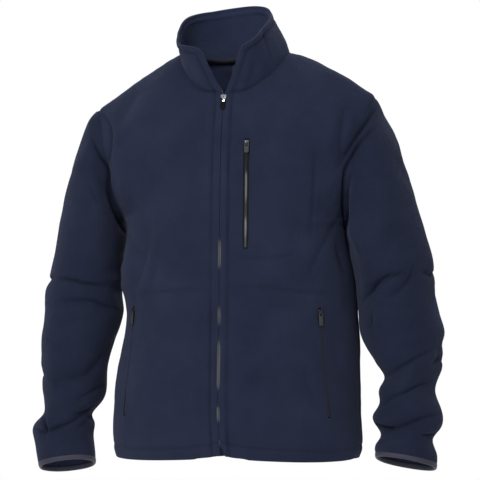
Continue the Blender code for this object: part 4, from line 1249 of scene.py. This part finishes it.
for name, loop in slot_loops.items():
    line = slot_line(loop)
    low = -CLOTH_THICK / MM - SLOT_TAPE_DEEP
    flat = flat_section(-SLOT_TAPE, SLOT_TAPE, low - TAPE_THICK, low)
    flat_tape = swept(even(line, TAPE_STEP, MM / 2, MM / 2), flat)
    cord = swept(even(line, TAPE_STEP, MM, MM), round_section(*SLOT_CORD))
    matrices = []
    row = even(line, TOOTH_PITCH / 2, SLOT_TEETH_END, SLOT_TEETH_END)
    for number, (at, into, out) in enumerate(zip(*row)):
        hand = 1 if number % 2 else -1
        root = at - into * hand * SLOT_TOOTH_BACK * MM - out * (SLOT_TEETH_LOW * MM + TOOTH_TALL / 2)
        matrices.append(frame_matrix(root, into * hand, out))
    teeth = repeated(tooth_shape(SLOT_TOOTH), matrices)
    paint_glints(teeth, CHEST_PAINTED_GLINTS)
    tape = joined([flat_tape, cord])
    add_piece(f"zip_{name}_tape", tape, tape_black, replaces=["zip_" + name])
    add_piece(f"zip_{name}_teeth", teeth, teeth_grey if name == "chest" else teeth_dark)
    print("pocket zip", name, len(matrices), "teeth")

# %% [markdown]
# # Sliders and pulls
# A slider is a shield-shaped plate on its teeth, wider where the rows part, with a small bridge that holds
# the pull. The pull is a flat tab with a window for the bridge at its upper end and ridges to grip at its
# lower end. It turns on the bridge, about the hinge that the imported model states.

# %% Hinge frames
hinges = {joint["name"]: joint for joint in frame["joints"]}


def long_axis(node):
    """The direction in which a node is longest."""
    co = places(frame["nodes"][node].data)
    return Vector(np.linalg.svd(co - co.mean(0), full_matrices=False)[2][0])


def hinge_frame(name):
    """X across the zip, Y into the cloth, Z up along the zip, at the pull's hinge."""
    joint = hinges[f"pull_{name}_hinge"]
    across = -Vector(joint["axis"]).normalized()
    up = long_axis("pull_" + name)
    up = (up - across * up.dot(across)).normalized()
    up = up if up.z > 0 else -up
    return axes_at(joint["pos_m"], across, up.cross(across), up)


print({name: [round(x, 3) for x in joint["pos_m"]] for name, joint in hinges.items()})

# %% Plates and boxes, in mm about the hinge
SHARPER_THAN = 1.0  # radians between two faces


def box_between(low, high, soften):
    """A box with its edges rounded, from two corners."""
    low, high = Vector(low), Vector(high)
    box = block(high - low, (low + high) / 2)
    return smooth(rounded(box, box.edges[:], soften, 2))


def plate_rounded(plate, corner, rim, below=math.inf):
    """Rounds those corners of a plate's outline that lie below a height, and then every sharp edge."""
    through = [edge for edge in plate.edges if abs(edge.verts[0].co.y - edge.verts[1].co.y) > 1]
    rounded(plate, [edge for edge in through if edge.verts[0].co.z < below], corner, 4)
    sharp = [edge for edge in plate.edges if edge.calc_face_angle(0) > SHARPER_THAN]
    return smooth(rounded(plate, sharp, rim, 2))


print("plates: edges sharper than", SHARPER_THAN, "radian are rounded")

# %% Slider
PLATE_AT, PLATE_THICK, PLATE_NARROWS, PLATE_CORNER, PLATE_RIM = 1.3, 1.6, 0.62, 2.0, 0.45
KEEL_HALF, KEEL_FROM, KEEL_DEEP, KEEL_INSET, KEEL_RIM = 2.2, 0.8, 1.4, 2, 0.3
BRIDGE_HALF, BRIDGE_RISE, BRIDGE_FOOT, BRIDGE_SECTION = 3.4, 1.9, 0.4, (2.2, 1.2, -0.6, 8)
BRIDGE_STEPS, BRIDGE_SQUARE, BRIDGE_TILT = 13, 0.55, 0.9


def bridge_shape():
    """A bar that rises from the plate, passes over the hinge and comes down again."""
    foot = PLATE_AT + BRIDGE_FOOT
    arch = []
    for t in np.linspace(0, math.pi, BRIDGE_STEPS):
        z, y = BRIDGE_HALF * math.cos(t), foot - (foot + BRIDGE_RISE) * math.sin(t) ** BRIDGE_SQUARE
        out = Vector((0, -math.sin(t), math.cos(t) * BRIDGE_TILT)).normalized()
        arch.append((Vector((0, y, z)) * MM, Vector((1, 0, 0)), out))
    bridge = swept(Border(*zip(*arch)), round_section(*BRIDGE_SECTION))
    bmesh.ops.scale(bridge, vec=(1 / MM,) * 3, verts=bridge.verts)
    return bridge


def slider_shape(wide, tall):
    """The plate, narrower at its lower end, the bridge on it and the keel between the rows of teeth."""
    plate = block((wide, PLATE_THICK, tall), (0, PLATE_AT + PLATE_THICK / 2, 0))
    for vert in plate.verts:
        vert.co.x *= PLATE_NARROWS if vert.co.z < 0 else 1.0
    plate_rounded(plate, PLATE_CORNER, PLATE_RIM)
    reach, deepest = tall / 2 - KEEL_INSET, PLATE_AT + PLATE_THICK + KEEL_DEEP
    keel = box_between((-KEEL_HALF, PLATE_AT + KEEL_FROM, -reach), (KEEL_HALF, deepest, reach), KEEL_RIM)
    return joined([plate, keel, bridge_shape()])


print("a slider's keel is", 2 * KEEL_HALF, "mm wide")

# %% Pull
PULL_WIDE, PULL_THICK, WINDOW_WIDE, WINDOW_LONG = 8.0, 1.5, 4.4, 5.4
PULL_CORNER, PULL_RIM, RAIL_SUNK = 2.2, 0.35, 0.2
RIDGES, RIDGE_FIRST, RIDGE_PITCH, RIDGE_HALF = 4, 2.6, 1.7, 0.4
RIDGE_INSET, RIDGE_HIGH, RIDGE_RIM = 1.4, 0.25, 0.2


def pull_shape(long):
    """A ring of metal round the window, the tab below it and the ridges to grip."""
    wide, half = PULL_WIDE / 2, PULL_THICK / 2
    low, rail, sill = half - long, (PULL_WIDE - WINDOW_WIDE) / 2, -half - WINDOW_LONG
    bars = [
        box_between((-wide, -half, -half), (wide, half, half), PULL_RIM),
        box_between((-wide, -half, sill - RAIL_SUNK), (-wide + rail, half, half), PULL_RIM),
        box_between((wide - rail, -half, sill - RAIL_SUNK), (wide, half, half), PULL_RIM),
    ]
    tab = block((PULL_WIDE, PULL_THICK, sill - low), (0, 0, (sill + low) / 2))
    plate_rounded(tab, PULL_CORNER, PULL_RIM, below=sill - 1)
    ridges = []
    for step in range(RIDGES):
        z = low + RIDGE_FIRST + step * RIDGE_PITCH
        x, y = wide - RIDGE_INSET, half + RIDGE_HIGH
        ridges.append(box_between((-x, -y, z - RIDGE_HALF), (x, y, z + RIDGE_HALF), RIDGE_RIM))
    return joined([*bars, tab, *ridges])


print("a pull's window is", WINDOW_WIDE, "by", WINDOW_LONG, "mm")

# %% Set them on their zips
nickel = plain_material("nickel slider", (0.24, 0.24, 0.255), 0.22, 1.0)
smoked = plain_material("smoked slider", (0.030, 0.030, 0.032), 0.30, 0.9)
lacquer = plain_material("black lacquered pull", (0.003, 0.003, 0.0035), 0.55, specular=0.03)
gunmetal = plain_material("gunmetal pull", (0.024, 0.024, 0.025), 0.55, specular=0.10)
ZIPPERS = {  # the slider's width and height, the pull's length, and their finishes
    "main": ((11.0, 15.0), 21.0, nickel, lacquer),
    "chest": ((9.0, 11.0), 18.0, smoked, gunmetal),
    "hand_left": ((9.0, 11.0), 24.0, smoked, gunmetal),
    "hand_right": ((9.0, 11.0), 24.0, smoked, gunmetal),
}
for name, (size, long, slider_finish, pull_finish) in ZIPPERS.items():
    slider, pull = slider_shape(*size), pull_shape(long)
    for mesh in (slider, pull):
        mesh.transform(hinge_frame(name) @ Matrix.Scale(MM, 4))
    add_piece("metal_slider_" + name, slider, slider_finish, replaces=["slider_" + name])
    tab = f"pull_{name}_tab"
    add_piece("metal_pull_" + name, pull, pull_finish, body=tab, replaces=["pull_" + name])
print("sliders and pulls:", len(ZIPPERS), "of each")

# %% [markdown]
# # Inside pieces and cuff bindings
# The pocket bags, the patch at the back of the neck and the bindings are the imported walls, made finer and
# moved with the cloth that they are sewn to, so that no fold pokes through them.

# %% Pieces carried by the cloth
NEARLY_FLAT = 0.7


def carried(node, level):
    """A packed wall, finer, moved as the nearest cloth moved when it was folded."""
    mesh = subdivided(to_mesh(paired(packed(node), NEARLY_FLAT), node), level)
    co = places(mesh)
    nearest = [was_tree.find(point)[1] for point in co]
    put_places(mesh, co + (cloth_at - cloth_was)[nearest])
    mesh.shade_smooth()
    return mesh


lining = plain_material("dark pocket mesh", (0.010, 0.011, 0.020), 0.8)
ribbed(lining, "ShaderNodeTexVoronoi", "Distance", 0.0004, 0.7, Scale=520.0)
BINDING_DEEP, BINDING_LIT = (0.0115, 0.0120, 0.0230), (0.0195, 0.0190, 0.0315)
binding = plain_material("plum binding", BINDING_LIT, 0.6, specular=0.2)
lie = noise_on(binding, object_place(binding), PATCHES, 1)
wire(binding, Base_Color=ramp(binding, lie, BINDING_DEEP, BINDING_LIT, 0.38, 0.58))
ribbed(binding, "ShaderNodeTexWave", "Fac", 0.0004, 0.5, Scale=260.0, Distortion=1.0, bands_direction="Z")
set_sheen(binding, 0.05, 0.3, (0.8, 0.75, 1.0))
for node in ("pocket_bag_chest", "pocket_bag_left", "pocket_bag_right", "neck_patch"):
    add_piece("lining_" + node, carried(node, 1), lining, replaces=[node])
for side in ("left", "right"):
    node = "cuff_binding_" + side
    add_piece("trim_" + node, carried(node, 2), binding, replaces=[node])
print("carried pieces: 4 inside, 2 bindings")

# %% [markdown]
# # Inside the neck, and the zip's lower end
# A flat tape covers the neck seam on the inside, from near one front edge to near the other. At the hem the
# zip ends in a moulded box, into which the pin of the other half goes.

# %% The neck tape
NECK_TAPE_HALF, NECK_TAPE_THICK, NECK_TAPE_CLEAR = 4.5, 0.8, 0.0004
NECK_TAPE_STEP, NECK_TAPE_ENDS = 0.005, math.radians(150)
fine_bm.verts.ensure_lookup_table()
collar_number = CLOTH_PIECES.index("collar")
beside_seam = {i: {face.material_index for face in fine_bm.verts[i].link_faces} for i in seam_points}
on_neck = [i for i, pieces in beside_seam.items() if collar_number in pieces]
middle_y = cloth_at[on_neck][:, 1].mean()
turns = [(math.atan2(cloth_at[i][0], cloth_at[i][1] - middle_y), i) for i in on_neck]
ring = [i for turn, i in sorted(turns) if abs(turn) < NECK_TAPE_ENDS]
line = resampled(cloth_at[ring] - smooth_out[ring] * (DOUBLE_THICK + NECK_TAPE_CLEAR), NECK_TAPE_STEP)
inward = -np.array([smooth_out[was_tree.find(point)[1]] for point in line])
across = unit(np.cross(inward, unit(np.gradient(line, axis=0))))
flat = flat_section(-NECK_TAPE_HALF, NECK_TAPE_HALF, 0, NECK_TAPE_THICK)
neck_tape = to_mesh(swept(softened(Border(line, across, inward), rounds=4), flat), "neck_tape")
neck_cloth = plain_material("slate neck tape", (0.0150, 0.0145, 0.0245), 0.8, specular=0.1)
ribbed(neck_cloth, "ShaderNodeTexWave", "Fac", 0.0003, 0.5, Scale=420.0, Distortion=0.4)
add_piece("trim_neck_tape", neck_tape, neck_cloth)
print("neck tape:", len(ring), "seam points,", len(line), "frames")

# %% The box at the zip's lower end
LOW_FRAMES, BELOW_TEETH = 8, 0.002
BOX_HALF, BOX_TALL, BOX_THICK_HALF, BOX_RIM = 4.0, 8.5, 1.6, 0.6
ends = [upward(border_at(part, lifted_at)) for part in front_parts.values()]
ends = [even(border, MM, ZIP_ENDS - BELOW_TEETH) for border in ends]
box_at = sum(border.at[0] for border in ends) / 2
box_out = unit(sum(border.out[0] for border in ends))
box_up = unit(sum(border.at[LOW_FRAMES] - border.at[0] for border in ends))
deep = TEETH_LOW + TOOTH_TALL / 2 / MM
zip_box = box_between((0, -BOX_HALF, -BOX_THICK_HALF), (BOX_TALL, BOX_HALF, BOX_THICK_HALF), BOX_RIM)
zip_box = to_mesh(zip_box, "zip_box")
zip_box.transform(frame_matrix(box_at - box_out * deep * MM, box_up, box_out) @ Matrix.Scale(MM, 4))
pin_black = plain_material("black moulded box", (0.010, 0.010, 0.011), 0.45)
add_piece("zip_left_box", zip_box, pin_black)
print("zip box at", [round(float(x), 3) for x in box_at])

# %% [markdown]
# # What the cloth was cut to
# The flat cut of each cloth piece is listed: the width and length, how it is held and, where the cut isn't
# a rectangle, its area. These are the sizes of what shows, without seam allowances and turnings.

# %% Cloth sizes
CUTS = {
    "cloth_front_left": ((0.310, 0.735), "hung", 0.195),
    "cloth_front_right": ((0.310, 0.735), "hung", 0.193),
    "cloth_back": ((0.600, 0.735), "hung", 0.400),
    "cloth_sleeve_left": ((0.560, 0.660), "hung", 0.242),
    "cloth_sleeve_right": ((0.560, 0.660), "hung", 0.235),
    "cloth_collar": ((0.500, 0.090), "folded", 0.042),
    "trim_cuff_binding_left": ((0.270, 0.024), "folded", None),
    "trim_cuff_binding_right": ((0.270, 0.024), "folded", None),
    "lining_pocket_bag_chest": ((0.130, 0.270), "hung", 0.033),
    "lining_pocket_bag_left": ((0.300, 0.290), "hung", 0.079),
    "lining_pocket_bag_right": ((0.300, 0.290), "hung", 0.079),
    "lining_neck_patch": ((0.056, 0.032), "laid", None),
    "trim_neck_tape": ((0.470, 0.010), "laid", 0.0043),
}
SEWN_ON = {"cloth_front_left": ["stitches_fronts"], "cloth_back": ["stitches_hem"]}
for name, (flat, held_as, area) in CUTS.items():
    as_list(SEWN_ON.get(name, ()))
print("sheets:", len(CUTS))

# %% [markdown]
# # Size
# The sizes of the imported and the dressed jacket are printed side by side. The dressed
# jacket has to stay the size of the imported one.

# %% Finish
dressed_box = [list(corner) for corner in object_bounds()]
for name, box in (("packed", cad_box), ("dressed", dressed_box)):
    print(name, [round((high - low) / MM, 1) for low, high in zip(*box)], "mm")
